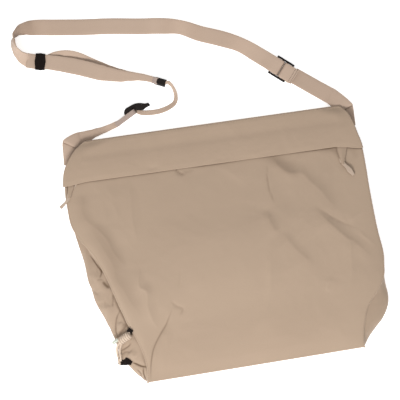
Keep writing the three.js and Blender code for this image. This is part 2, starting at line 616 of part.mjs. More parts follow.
// Main strap: its sewn end turns back round the first bar, and its tail round the end fitting.
const foldedThick = WEB_THICK * 1.6;
const foldedWidth = WEB_WIDTH * 0.44;
const fittingTurn = Math.hypot(BAR_SIZE, FITTING_THICK) / 2 + 0.8 * PASS_GAP + foldedThick / 2;
const fittingHeight = foldedThick / 2 + fittingTurn;
const keeperRise = KEEPER_WALL + PASS_GAP;

const mainLift = 2 * webTurn;
const tailLift = 2 * fittingTurn;
const MAIN_STEPS = 96;
const TAIL_STEPS = 48;
const KEEPER_ROW = 11;

function mainStations() {
  const reach = TRIGLIDE_LENGTH / 2 - barOffset;
  const start = turned({
    bar: triglideCentre.clone().addScaledVector(triglideHeading, -barOffset),
    heading: triglideHeading,
    under: reach + 4,
    over: reach - 4,
    radius: webTurn,
    width: WEB_WIDTH,
    thick: WEB_THICK,
  });
  const route = laid(MAIN_ROUTE, MAIN_STEPS, WEB_WIDTH, WEB_THICK, { bar: mainLift, keeper: keeperRise });
  const tail = laid(TAIL_ROUTE, TAIL_STEPS, WEB_WIDTH, WEB_THICK, { rise: tailLift });
  const last = route[route.length - 1];
  const turn = turned({
    bar: fittingBar(last),
    heading: last.heading,
    under: 0.5,
    over: 0.5,
    radius: fittingTurn,
    width: foldedWidth,
    thick: foldedThick,
  });
  const flip = (stations) => stations.map((s) => ({ ...s, side: s.side.clone().negate() }));
  return [...start, ...flip(route), ...flip(turn), ...tail.slice(1)];
}

function fittingBar(last) {
  return last.place.clone().setZ(fittingHeight).addScaledVector(last.heading, BAR_SIZE);
}

const routeEnd = laid(MAIN_ROUTE, MAIN_STEPS, WEB_WIDTH, WEB_THICK, {})[MAIN_STEPS];
const slotLength = fittingTurn + foldedThick / 2 + PASS_GAP - BAR_SIZE / 2;
const narrowTurn = clearOf(Math.hypot(BAR_SIZE, FITTING_THICK), TAPE_THICK);
const narrowSlot = narrowTurn + TAPE_THICK / 2 + PASS_GAP - BAR_SIZE / 2;

function slot(shape, from, length, width) {
  const hole = new THREE.Path();
  hole.moveTo(from, -width / 2);
  hole.lineTo(from + length, -width / 2);
  hole.lineTo(from + length, width / 2);
  hole.lineTo(from, width / 2);
  hole.closePath();
  shape.holes.push(hole);
}

function roundedRect(x0, y0, x1, y1, r) {
  const shape = new THREE.Shape();
  shape.moveTo(x0 + r, y0);
  shape.lineTo(x1 - r, y0);
  shape.quadraticCurveTo(x1, y0, x1, y0 + r);
  shape.lineTo(x1, y1 - r);
  shape.quadraticCurveTo(x1, y1, x1 - r, y1);
  shape.lineTo(x0 + r, y1);
  shape.quadraticCurveTo(x0, y1, x0, y1 - r);
  shape.lineTo(x0, y0 + r);
  shape.quadraticCurveTo(x0, y0, x0 + r, y0);
  return shape;
}

function makeFitting() {
  const shape = roundedRect(-BAR_SIZE / 2, -FITTING_WIDTH / 2, FITTING_LENGTH - BAR_SIZE / 2, FITTING_WIDTH / 2, 1.2);
  slot(shape, BAR_SIZE / 2, slotLength, foldedWidth + 2 * PASS_GAP);
  slot(shape, FITTING_LENGTH - 1.5 * BAR_SIZE - narrowSlot, narrowSlot, TAPE_WIDTH + 2 * PASS_GAP);
  const plate = new THREE.ExtrudeGeometry(shape, { depth: FITTING_THICK, bevelEnabled: false, curveSegments: 3 });
  return inPlace(plate.translate(0, 0, -FITTING_THICK / 2), fittingBar(routeEnd), routeEnd.heading);
}

// Keeper round both layers
const keeperPlace = new THREE.Vector3(across(TAIL_ROUTE[KEEPER_ROW].x), upward(TAIL_ROUTE[KEEPER_ROW].y), 0);
const keeperHeading = new THREE.Vector3(
  across(MAIN_ROUTE[20].x - MAIN_ROUTE[18].x), upward(MAIN_ROUTE[20].y - MAIN_ROUTE[18].y), 0).normalize();

function makeKeeper() {
  const tailTop = tailLift * TAIL_ROUTE[KEEPER_ROW].rise + WEB_THICK;
  const inner = { width: WEB_WIDTH + 3 * PASS_GAP, height: tailTop + PASS_GAP - KEEPER_WALL };
  const half = inner.width / 2 + KEEPER_WALL;
  const shape = roundedRect(-half, 0, half, inner.height + 2 * KEEPER_WALL, 1);
  const hole = new THREE.Path();
  hole.moveTo(-inner.width / 2, KEEPER_WALL);
  hole.lineTo(inner.width / 2, KEEPER_WALL);
  hole.lineTo(inner.width / 2, KEEPER_WALL + inner.height);
  hole.lineTo(-inner.width / 2, KEEPER_WALL + inner.height);
  hole.closePath();
  shape.holes.push(hole);
  const sleeve = new THREE.ExtrudeGeometry(shape, { depth: KEEPER_LENGTH, bevelEnabled: false, curveSegments: 3 });
  sleeve.translate(0, 0, -KEEPER_LENGTH / 2);
  const matrix = new THREE.Matrix4().makeBasis(UP.clone().cross(keeperHeading), UP, keeperHeading);
  return sleeve.applyMatrix4(matrix.setPosition(keeperPlace));
}

// Right anchor: sewn end over the triglide, a mitred corner and a hidden end under the flap
function cornered(stations, corner, endPlace, width, thick) {
  const last = stations[stations.length - 1];
  const inbound = corner.clone().sub(last.place).setZ(0).normalize();
  const outbound = endPlace.clone().sub(corner).setZ(0).normalize();
  const right = inbound.clone().cross(UP).add(outbound.clone().cross(UP)).normalize();
  const stretch = 1 / Math.cos(inbound.angleTo(outbound) / 2);
  const mid = { place: corner.clone().setZ(thick / 2), side: right, width: width * stretch, thick };
  const runs = [0.25, 0.5, 0.75, 1].map((share) => ({
    place: corner.clone().lerp(endPlace, share).setZ(thick / 2),
    side: outbound.clone().cross(UP).normalize(),
    width,
    thick,
  }));
  return [...stations, mid, ...runs];
}

const strapEnd = backLine + 2 * SEAM_GAP;
function rightAnchorStations() {
  const heading = triglideHeading.clone().negate();
  const bar = triglideCentre.clone().addScaledVector(triglideHeading, barOffset);
  const turn = turned({
    bar,
    heading,
    under: TRIGLIDE_LENGTH / 2 + 3,
    over: HEM_TURN - barOffset,
    radius: webTurn,
    width: WEB_WIDTH,
    thick: WEB_THICK,
  }).reverse();
  const route = laid(RIGHT_ROUTE, 10, WEB_WIDTH, WEB_THICK, {});
  route.forEach((s) => { s.side.negate(); });
  const all = [...turn, ...route.slice(1)];
  const corner = new THREE.Vector3(across(0.4745), upward(0.4935), 0);
  const end = new THREE.Vector3(across(0.4705), strapEnd, 0);
  const done = cornered(all, corner, end, WEB_WIDTH, WEB_THICK);
  const count = all.length;
  return done.map((s, k) => (k < count ? s : { ...s, side: s.side.clone().negate() }));
}

function leftAnchorStations() {
  const route = laid(LEFT_ROUTE, 14, WEB_WIDTH, WEB_THICK, { rise: TAPE_THICK + PASS_GAP });
  const corner = new THREE.Vector3(across(-0.4485), upward(0.505), 0);
  const end = new THREE.Vector3(across(-0.4585), strapEnd, 0);
  return cornered(route, corner, end, WEB_WIDTH, WEB_THICK);
}

// Hook and the two tapes at it
const hookTurn = clearOf(HOOK_THICK, TAPE_THICK) + 0.6 * PASS_GAP;
const hookHeight = TAPE_THICK / 2 + hookTurn;
const hookPlace = new THREE.Vector3(across(HOOK_PLACE.x), upward(HOOK_PLACE.y), hookHeight);
const hookHeading = new THREE.Vector3(Math.cos(radians(HOOK_PLACE.turn)), Math.sin(radians(HOOK_PLACE.turn)), 0);

function makeHook() {
  const at = (row) => new THREE.Vector2(row.x * HOOK_LENGTH, row.y * HOOK_LENGTH);
  const shape = new THREE.Shape();
  const [first, ...others] = HOOK_OUTLINE.map(at);
  shape.moveTo(first.x, first.y);
  shape.splineThru(others.slice(0, 7));
  others.slice(7).forEach((p) => shape.lineTo(p.x, p.y));
  const { left, right, top } = HOOK_MOUTH;
  const mouthPoints = [
    { x: right, y: -0.05 }, { x: right, y: top * 0.8 }, { x: (left + right) / 2, y: top },
    { x: left, y: top * 0.8 }, { x: left, y: -0.03 }, HOOK_TIP_LOW,
  ];
  mouthPoints.map(at).forEach((p) => shape.lineTo(p.x, p.y));
  shape.closePath();
  const plate = new THREE.ExtrudeGeometry(shape, { depth: HOOK_THICK, bevelEnabled: false, curveSegments: 6 });
  return inPlace(plate.translate(0, 0, -HOOK_THICK / 2), hookPlace, hookHeading);
}

function loopTapeStations() {
  const arm = { x: HOOK_MOUTH.left - 0.008, y: -0.07 };
  const matrix = new THREE.Matrix4().makeBasis(hookHeading, UP.clone().cross(hookHeading), UP).setPosition(hookPlace);
  const bar = new THREE.Vector3(arm.x * HOOK_LENGTH, arm.y * HOOK_LENGTH, 0).applyMatrix4(matrix);
  const collar = new THREE.Vector3(across(LEFT_ROUTE[0].x), upward(LEFT_ROUTE[0].y), bar.z);
  const heading = bar.clone().sub(collar).normalize();
  const reach = bar.distanceTo(collar);
  return turned({
    bar, heading, under: reach + 4, over: reach + 4, radius: hookTurn, width: TAPE_WIDTH, thick: TAPE_THICK,
  });
}

function narrowTapeStations() {
  const matrix = new THREE.Matrix4().makeBasis(routeEnd.heading, UP.clone().cross(routeEnd.heading), UP);
  matrix.setPosition(fittingBar(routeEnd));
  const bar = new THREE.Vector3(FITTING_LENGTH - BAR_SIZE, 0, 0).applyMatrix4(matrix);
  const turn = turned({
    bar, heading: routeEnd.heading.clone().negate(), under: 3.5, over: 3.2, radius: narrowTurn, width: TAPE_WIDTH, thick: TAPE_THICK,
  });
  const route = laid(NARROW_ROUTE, 36, TAPE_WIDTH, TAPE_THICK, { rise: bar.z + narrowTurn - TAPE_THICK / 2 });
  return [...turn, ...route.slice(1).map((s) => ({ ...s, side: s.side.clone().negate() }))];
}

// Zip sliders on the strip and the pulls that come out under the flap
function makeSlider(x) {
  const shape = roundedRect(-SLIDER_LENGTH / 2, -SLIDER_WIDTH / 2, SLIDER_LENGTH / 2, SLIDER_WIDTH / 2, 1.5);
  const body = new THREE.ExtrudeGeometry(shape, { depth: SLIDER_HEIGHT, bevelEnabled: false, curveSegments: 3 });
  const base = onFront(x, zipLine, 2 * SEAM_GAP + ZIP_THICK + 0.3);
  return body.translate(base.x, base.y, base.z);
}

function pullStations(points) {
  const curve = new THREE.CatmullRomCurve3(points, false, 'centripetal');
  const count = 14;
  return Array.from({ length: count + 1 }, (_, k) => {
    const heading = curve.getTangent(k / count).setZ(0).normalize();
    return {
      place: curve.getPoint(k / count), side: heading.cross(UP), width: PULL_WIDTH, thick: PULL_THICK,
    };
  });
}

// A pull leaves its slider, passes under the flap's edge and lies on the front cloth.
function pullRoute(sliderX, outside) {
  const onZip = SEAM_GAP + ZIP_THICK + PASS_GAP + PULL_THICK / 2;
  const onCloth = 2 * PASS_GAP + PULL_THICK / 2;
  const flapEdge = upward(FOLD_LINE) - FLAP_DROP;
  const from = zipLine - SLIDER_WIDTH / 2 - PASS_GAP;
  return [
    onFront(sliderX, from, onZip + 0.2),
    onFront(sliderX, zipLine - 0.62 * ZIP_WIDTH, onZip),
    onFront(lerp(sliderX, across(outside[0].x), 0.6), flapEdge, onCloth),
    ...outside.map((row) => onFront(across(row.x), upward(row.y), onCloth + row.lift)),
  ];
}
const LEFT_PULL = [{ x: -0.466, y: 0.318, lift: 0 }, { x: -0.483, y: 0.278, lift: 0.4 }, { x: -0.509, y: 0.25, lift: 0.4 }];
const RIGHT_PULL = [{ x: 0.43, y: 0.28, lift: 0 }, { x: 0.446, y: 0.249, lift: 0.3 }, { x: 0.461, y: 0.217, lift: 0.2 }];

// Lash cord between two webbing loops on the left gusset
function onGusset(w, up, lift) {
  const here = gussetPoint('left', w, up);
  const over = gussetPoint('left', w + 0.02, up).sub(here);
  const along = gussetPoint('left', w, up + 0.01).sub(here);
  return here.addScaledVector(over.cross(along).normalize(), lift);
}
const cordRadius = CORD_DIAMETER / 2;
const loopRadius = cordRadius + 1.5 * PASS_GAP + LASH_THICK / 2;
const LASH_UPPER = { w: 0.86, up: 0.234 };
const LASH_KNOT = { from: { w: 0.8, up: 0.2 }, to: { w: 0.42, up: 0.186 } };
const LASH_LOWER = { x: -0.384, y: -0.42, z: 0.19 };
const LASH_SWING = { x: -0.391, y: -0.365, z: 0.27 };
const outward = new THREE.Vector3(-1, 0, 0);

const upperBar = onGusset(LASH_UPPER.w, LASH_UPPER.up, loopRadius + LASH_THICK / 2 + 2 * PASS_GAP);
const lowerBar = new THREE.Vector3(across(LASH_LOWER.x), upward(LASH_LOWER.y), SIDE_DEPTH * LASH_LOWER.z);
const knotStart = onGusset(LASH_KNOT.from.w, LASH_KNOT.from.up, KNOT_DIAMETER / 2 + 7.4 * PASS_GAP);
const knotEnd = onGusset(LASH_KNOT.to.w, LASH_KNOT.to.up, KNOT_DIAMETER / 2 + 7.4 * PASS_GAP);

function tube(points, radius, sides, steps) {
  const section = new THREE.Shape();
  for (let k = 0; k < sides; k += 1) {
    const angle = (2 * Math.PI * k) / sides;
    const corner = [radius * Math.cos(angle), radius * Math.sin(angle)];
    if (k === 0) section.moveTo(...corner);
    else section.lineTo(...corner);
  }
  section.closePath();
  const path = new THREE.CatmullRomCurve3(points, false, 'centripetal');
  return new THREE.ExtrudeGeometry(section, { steps, bevelEnabled: false, extrudePath: path });
}

// The knot is the cord wound round itself: a ribbed barrel.
function knotBarrel() {
  const profile = [new THREE.Vector2(0, 0)];
  for (let wrap = 0; wrap < KNOT_WRAPS; wrap += 1) {
    for (const [share, rib] of [[0.05, 0.82], [0.5, 1], [0.95, 0.82]]) {
      const along = ((wrap + share) / KNOT_WRAPS) * KNOT_LENGTH;
      profile.push(new THREE.Vector2((rib * KNOT_DIAMETER) / 2, along));
    }
  }
  profile.push(new THREE.Vector2(0, KNOT_LENGTH));
  const barrel = new THREE.LatheGeometry(profile, 8);
  const axis = knotEnd.clone().sub(knotStart).normalize();
  const turn = new THREE.Matrix4().makeRotationFromQuaternion(
    new THREE.Quaternion().setFromUnitVectors(new THREE.Vector3(0, 1, 0), axis));
  return barrel.applyMatrix4(turn.setPosition(knotStart));
}

const knotAxis = knotEnd.clone().sub(knotStart).normalize();
const knotTail = knotStart.clone().addScaledVector(knotAxis, KNOT_LENGTH);
function makeLashCord() {
  const cord = tube([
    upperBar.clone().add(new THREE.Vector3(0, 0.8 * LASH_UPPER_WIDTH, 0)),
    upperBar,
    upperBar.clone().add(new THREE.Vector3(0, -0.5 * LASH_UPPER_WIDTH - PASS_GAP, 0)),
    knotStart.clone().addScaledVector(knotAxis, 0.2 * KNOT_LENGTH),
    knotStart.clone().addScaledVector(knotAxis, 0.7 * KNOT_LENGTH),
    knotTail.clone().add(new THREE.Vector3(-0.7 * CORD_DIAMETER, -1.3 * CORD_DIAMETER, -0.4 * CORD_DIAMETER)),
    new THREE.Vector3(across(LASH_SWING.x), upward(LASH_SWING.y), SIDE_DEPTH * LASH_SWING.z),
    lowerBar.clone().add(new THREE.Vector3(0, 0.7 * LASH_WIDTH, 0.3)),
    lowerBar,
    lowerBar.clone().add(new THREE.Vector3(0, -0.75 * LASH_WIDTH, -0.3)),
  ], cordRadius, 8, 30);
  return join([cord, knotBarrel()]);
}

function lashLoop(bar, reach, width) {
  return turned({
    bar, heading: outward, under: reach, over: reach, radius: loopRadius, width, thick: LASH_THICK,
  });
}

function makeTip() {
  const start = knotTail.clone().addScaledVector(knotAxis, 2 * PASS_GAP).add(new THREE.Vector3(0, 0.5 * TIP_DIAMETER, 0));
  const lean = new THREE.Vector3(-0.85, -0.45, -0.25).normalize();
  return tube([start, start.clone().addScaledVector(knotAxis, 0.2 * TIP_LENGTH),
    start.clone().addScaledVector(lean, TIP_LENGTH)], TIP_DIAMETER / 2, 8, 6);
}

const group = new THREE.Group();
function add(name, geometry, color, roughness, metalness) {
  const mesh = new THREE.Mesh(geometry, new THREE.MeshStandardMaterial({ color, roughness, metalness }));
  mesh.name = name;
  group.add(mesh);
}

const CLOTH_COLOUR = 0xb8a08a;
const WEB_COLOUR = 0xbfa996;
const TAPE_COLOUR = 0xb9a5a0;
const BLACK = 0x2d2421;
const CORD_COLOUR = 0xcfb9a4;

add('rear_panel', rearPanel, CLOTH_COLOUR, 0.8, 0);
add('front_panel', frontPanel, CLOTH_COLOUR, 0.8, 0);
add('gusset_left', gussetLeft, CLOTH_COLOUR, 0.8, 0);
add('gusset_right', gussetRight, CLOTH_COLOUR, 0.8, 0);
add('bottom_panel', bottomPanel, CLOTH_COLOUR, 0.8, 0);
add('flap', flap, CLOTH_COLOUR, 0.8, 0);
add('zip_tape', zipTape, TAPE_COLOUR, 0.7, 0);
add('triglide', makeTriglide(), BLACK, 0.45, 0);
add('strap_main', ribbon(mainStations()), WEB_COLOUR, 0.85, 0);
add('keeper', makeKeeper(), BLACK, 0.6, 0);
add('end_fitting', makeFitting(), BLACK, 0.45, 0);
add('strap_right_anchor', ribbon(rightAnchorStations()), WEB_COLOUR, 0.85, 0);
add('strap_left_anchor', ribbon(leftAnchorStations()), WEB_COLOUR, 0.85, 0);
add('hook', makeHook(), BLACK, 0.4, 0);
add('loop_tape', ribbon(loopTapeStations()), TAPE_COLOUR, 0.8, 0);
add('narrow_tape', ribbon(narrowTapeStations()), WEB_COLOUR, 0.8, 0);
const sliders = { left: across(ZIP_ENDS.left) + SLIDER_LENGTH / 2, right: across(ZIP_ENDS.right) - SLIDER_LENGTH / 2 };
add('zip_slider_left', makeSlider(sliders.left), TAPE_COLOUR, 0.5, 0);
add('zip_slider_right', makeSlider(sliders.right), TAPE_COLOUR, 0.5, 0);
add('zip_pull_left', ribbon(pullStations(pullRoute(sliders.left, LEFT_PULL))), TAPE_COLOUR, 0.7, 0);
add('zip_pull_right', ribbon(pullStations(pullRoute(sliders.right, RIGHT_PULL))), TAPE_COLOUR, 0.7, 0);
add('lash_loop_upper', ribbon(lashLoop(upperBar, 1.5 * PASS_GAP, LASH_UPPER_WIDTH)), BLACK, 0.7, 0);
add('lash_loop_lower', ribbon(lashLoop(lowerBar, 6.75, LASH_WIDTH)), BLACK, 0.7, 0);
add('lash_cord', makeLashCord(), CORD_COLOUR, 0.6, 0);
add('cord_tip', makeTip(), 0xa9b0a4, 0.3, 0);

export default group;
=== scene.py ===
"""A cycling musette bag of thin tan cloth, lying on its back on a pale floor.

Shapes are worked out in millimetres in the frame of the solids: X runs right along the top edge,
Y towards the strap and Z up off the floor. Every mesh is then put down in metres.
"""
import logging
import math
from dataclasses import dataclass
from enum import Enum
from functools import cache
from typing import Iterable, Sequence

import bmesh
import bpy
import numpy as np
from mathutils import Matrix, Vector


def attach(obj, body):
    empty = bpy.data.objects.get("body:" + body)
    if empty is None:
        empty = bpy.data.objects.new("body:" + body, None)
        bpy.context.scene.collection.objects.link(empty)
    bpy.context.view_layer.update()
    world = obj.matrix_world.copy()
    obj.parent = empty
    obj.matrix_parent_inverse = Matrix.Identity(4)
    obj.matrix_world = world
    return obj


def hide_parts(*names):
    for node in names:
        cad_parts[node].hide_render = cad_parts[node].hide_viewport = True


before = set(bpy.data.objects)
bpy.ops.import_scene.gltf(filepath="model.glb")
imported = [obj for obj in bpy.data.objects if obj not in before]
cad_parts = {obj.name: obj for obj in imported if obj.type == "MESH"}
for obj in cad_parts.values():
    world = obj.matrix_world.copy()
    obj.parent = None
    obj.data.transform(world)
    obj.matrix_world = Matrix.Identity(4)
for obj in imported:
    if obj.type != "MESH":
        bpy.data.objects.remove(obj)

Array = np.ndarray
Colour = tuple[float, float, float]
Input = bpy.types.NodeSocket | float | tuple
log = logging.getLogger("musette")

MM = 0.001
WIDTH = 380.0
HEIGHT = 300.0
UP = np.array([0.0, 0.0, 1.0])
FOLD_STRENGTH = 1.3


def smoothstep(low: float, high: float, value: Array | float) -> Array:
    """Even rise from 0 at low to 1 at high."""
    t = np.clip((np.asarray(value, float) - low) / (high - low), 0.0, 1.0)
    return t * t * (3.0 - 2.0 * t)


def lerp(a: Array | float, b: Array | float, t: Array | float) -> Array:
    """Straight blend from a at 0 to b at 1."""
    return a + (b - a) * t


def unit(v: Array) -> Array:
    """The vector or vectors at length one."""
    return v / np.maximum(np.linalg.norm(v, axis=-1, keepdims=True), 1e-12)


def xyz(x: Array, y: Array, z: Array | float) -> Array:
    """Places from their three coordinates."""
    return np.stack(np.broadcast_arrays(x, y, z), axis=-1)


def spot_at(x: float, y: float, z: float = 0.0) -> Array:
    """A place from shares of the bag's width and height, and its height in millimetres."""
    return np.array([x * WIDTH, y * HEIGHT, z])


def walked(points: Array) -> Array:
    """Length walked along a line of points at each of them."""
    return np.concatenate([[0.0], np.cumsum(np.linalg.norm(np.diff(points, axis=0), axis=1))])


def beside(line: Array) -> Array:
    """Level directions to the right of a line at each of its points."""
    return unit(np.cross(unit(np.gradient(line, axis=0)), UP))


@dataclass(frozen=True)
class Table:
    """Columns of numbers that follow a rising first column.

    Attributes:
        names: The column names, the first being the place along the table.
        rows: The rows, in rising order of the first column.
    """

    names: tuple[str, ...]
    rows: tuple[tuple[float, ...], ...]

    def at(self, name: str, up: Array | float) -> Array:
        """Reads a column on a smooth cubic.

        Args:
            name: The column.
            up: Places along the first column.

        Returns:
            The column's values there.
        """
        grid = np.asarray(self.rows, float)
        ups, vals = grid[:, 0], grid[:, self.names.index(name)]
        up = np.asarray(up, float)
        k = np.clip(np.searchsorted(ups, up, side="left") - 1, 0, len(ups) - 2)
        index = np.arange(len(ups))
        before, after = np.maximum(index - 1, 0), np.minimum(index + 1, len(ups) - 1)
        slope = (vals[after] - vals[before]) / (ups[after] - ups[before])
        span = ups[k + 1] - ups[k]
        t = np.clip((up - ups[k]) / span, 0.0, 1.0)
        t2, t3 = t * t, t * t * t
        return (
            (2 * t3 - 3 * t2 + 1) * vals[k]
            + (t3 - 2 * t2 + t) * span * slope[k]
            + (-2 * t3 + 3 * t2) * vals[k + 1]
            + (t3 - t2) * span * slope[k + 1]
        )

    def eased(self, name: str, t: Array) -> Array:
        """Reads a column with the rows evenly spaced from 0 to 1 and an even easing between them.

        Args:
            name: The column.
            t: Places between 0 and 1.

        Returns:
            The column's values there.
        """
        vals = np.asarray(self.rows, float)[:, self.names.index(name)]
        place = np.asarray(t, float) * (len(vals) - 1)
        k = np.minimum(np.floor(place).astype(int), len(vals) - 2)
        return lerp(vals[k], vals[k + 1], smoothstep(0.0, 1.0, place - k))


def curve(points: Array, t: Array) -> Array:
    """Centripetal curve through points.

    Args:
        points: Control points, of shape (K, ..., 3).
        t: Shares of the way along, of shape (M,).

    Returns:
        Places of shape (M, ..., 3).
    """
    gap = lambda a, b: np.maximum(np.linalg.norm(b - a, axis=-1, keepdims=True) ** 0.5, 1e-4)
    count = len(points)
    full = np.concatenate([[2 * points[0] - points[1]], points, [2 * points[-1] - points[-2]]])
    out = np.empty((len(t),) + points.shape[1:])
    for m, share in enumerate(t):
        place = min(max(share, 0.0), 1.0) * (count - 1)
        k = min(int(place), count - 2)
        w = place - k
        p0, p1, p2, p3 = full[k : k + 4]
        d0, d1, d2 = gap(p0, p1), gap(p1, p2), gap(p2, p3)
        s1 = ((p1 - p0) / d0 - (p2 - p0) / (d0 + d1) + (p2 - p1) / d1) * d1
        s2 = ((p2 - p1) / d1 - (p3 - p1) / (d1 + d2) + (p3 - p2) / d2) * d1
        c2, c3 = -3 * p1 + 3 * p2 - 2 * s1 - s2, 2 * p1 - 2 * p2 + s1 + s2
        out[m] = p1 + s1 * w + c2 * w * w + c3 * w * w * w
    return out


def lattice_noise(x: Array, y: Array, seed: int) -> Array:
    """Smooth noise on a unit lattice, the same on every run.

    Args:
        x: First place on the lattice.
        y: Second place on it.
        seed: Seed of its directions.

    Returns:
        Values between about -1 and 1.
    """
    size = 64
    turn = np.random.default_rng(seed).uniform(0.0, 2.0 * math.pi, (size, size))
    gx, gy = np.cos(turn), np.sin(turn)
    xi, yi = np.floor(x).astype(int), np.floor(y).astype(int)
    fx, fy = x - xi, y - yi
    sx, sy = fx**3 * (fx * (fx * 6 - 15) + 10), fy**3 * (fy * (fy * 6 - 15) + 10)

    def corner(dx: int, dy: int) -> Array:
        """Slope of one corner of the cell, read at the place."""
        i, j = (xi + dx) % size, (yi + dy) % size
        return gx[i, j] * (fx - dx) + gy[i, j] * (fy - dy)

    low = lerp(corner(0, 0), corner(1, 0), sx)
    high = lerp(corner(0, 1), corner(1, 1), sx)
    return 1.5 * lerp(low, high, sy)


def crumple(x: Array, y: Array, size: float, seed: int) -> Array:
    """Soft sharp-crested creases, from two layers of folded noise.

    Args:
        x: First place, in millimetres.
        y: Second place, in millimetres.
        size: Spacing of the larger creases, in millimetres.
        seed: Seed of the noise.

    Returns:
        Heights between about -1 and 1.
    """
    bend_x = x + 0.35 * size * lattice_noise(x / size, y / size, seed + 7)
    bend_y = y + 0.35 * size * lattice_noise(x / size + 9.1, y / size + 3.7, seed + 8)

    def layer(scale: float, step: int, soft: float) -> Array:
        """One layer of creases, at a scale, with crests as soft as given."""
        noise = lattice_noise(scale * bend_x / size, scale * bend_y / size, seed + step)
        return 1.0 - 2.2 * np.sqrt(noise**2 + soft)

    return 0.7 * layer(1.0, 0, 0.004) + 0.3 * layer(2.1, 1, 0.006)


def link(name: str, data: bpy.types.ID) -> bpy.types.Object:
    """Puts a mesh, light or camera into the scene as an object at the origin.

    Args:
        name: Name of the object.
        data: What it shows.

    Returns:
        The linked object.
    """
    made = bpy.data.objects.new(name, data)
    bpy.context.scene.collection.objects.link(made)
    return made


def mesh_object(
    name: str,
    points: Array,
    faces: Sequence[Sequence[int]],
    uv: Array | None = None,
    smooth: bool = True,
    shade: Array | None = None,
) -> bpy.types.Object:
    """Makes an object from points in millimetres, with none of them under the floor.

    Args:
        name: Name of the object.
        points: Places, of shape (N, 3).
        faces: Corner indices of each face.
        uv: Places on the cloth in millimetres, one per point.
        smooth: Whether the faces are shaded smooth.
        shade: How much painted shade darkens each point, between 0 and 1.

    Returns:
        The linked object.
    """
    mesh = bpy.data.meshes.new(name)
    grounded = np.array(points, float)
    grounded[:, 2] = np.maximum(grounded[:, 2], 0.0)
    mesh.from_pydata((grounded * MM).tolist(), [], [list(f) for f in faces])
    if uv is not None:
        layer = mesh.uv_layers.new(name="cloth")
        corner = np.empty(len(mesh.loops), int)
        mesh.loops.foreach_get("vertex_index", corner)
        layer.data.foreach_set("uv", (np.asarray(uv)[corner] * MM).ravel())
    # Painted shade on each point, which the materials darken the colour by.
    depth = np.zeros(len(points)) if shade is None else np.clip(shade, 0.0, 1.0)
    mesh.attributes.new("painted_shade", "FLOAT", "POINT").data.foreach_set("value", depth.ravel())
    mesh.polygons.foreach_set("use_smooth", [smooth] * len(mesh.polygons))
    mesh.update()
    return link(name, mesh)


def grid_faces(rows: int, cols: int, first: int = 0, flip: bool = False) -> list[tuple[int, ...]]:
    """Faces of a grid of points, row after row.

    Args:
        rows: Number of rows.
        cols: Number of columns.
        first: Index of its first point.
        flip: Whether the faces look the other way.

    Returns:
        Corner indices of each face.
    """
    corners = [first + i * cols + j for i in range(rows - 1) for j in range(cols - 1)]
    return [(a, a + cols, a + cols + 1, a + 1)[:: -1 if flip else 1] for a in corners]


def grid_normals(grid: Array) -> Array:
    """Outward normals of a grid of points of shape (R, C, 3)."""
    return unit(np.cross(np.gradient(grid, axis=0), np.gradient(grid, axis=1)))


def cloth_uv(grid: Array) -> Array:
    """Places on the flat cloth, from the mean lengths walked along rows and columns.

    Args:
        grid: Points of shape (R, C, 3).

    Returns:
        Flat places of shape (R, C, 2).
    """
    steps = (np.linalg.norm(np.diff(grid, axis=k), axis=2).mean(axis=1 - k) for k in (0, 1))
    u, v = (np.concatenate([[0.0], np.cumsum(step)]) for step in steps)
    return np.stack(np.meshgrid(u, v, indexing="ij"), axis=2)


def cloth_wall(name: str, grid: Array, thickness: float, shade: Array | None = None) -> bpy.types.Object:
    """Closed cloth wall that grows inward from a grid of points.

    Args:
        name: Name of the object.
        grid: Outer points of shape (R, C, 3), with normals outward.
        thickness: Thickness of the cloth.
        shade: Painted shade at each grid point, of shape (R, C).

    Returns:
        The linked object.
    """
    rows, cols = grid.shape[:2]
    inner = grid - thickness * grid_normals(grid)
    count = rows * cols
    faces = grid_faces(rows, cols) + grid_faces(rows, cols, count, flip=True)
    for i in range(rows - 1):
        a, b = i * cols, i * cols + cols - 1
        faces.append((a, count + a, count + a + cols, a + cols))
        faces.append((b, b + cols, count + b + cols, count + b))
    for j in range(cols - 1):
        a, b = j, (rows - 1) * cols + j
        faces.append((a, a + 1, count + a + 1, count + a))
        faces.append((b, count + b, count + b + 1, b + 1))
    flat = cloth_uv(grid).reshape(-1, 2)
    points = np.concatenate([grid.reshape(-1, 3), inner.reshape(-1, 3)])
    depth = np.zeros(count) if shade is None else shade.ravel()
    return mesh_object(name, points, faces, np.concatenate([flat, flat]), True, np.concatenate([depth, depth]))


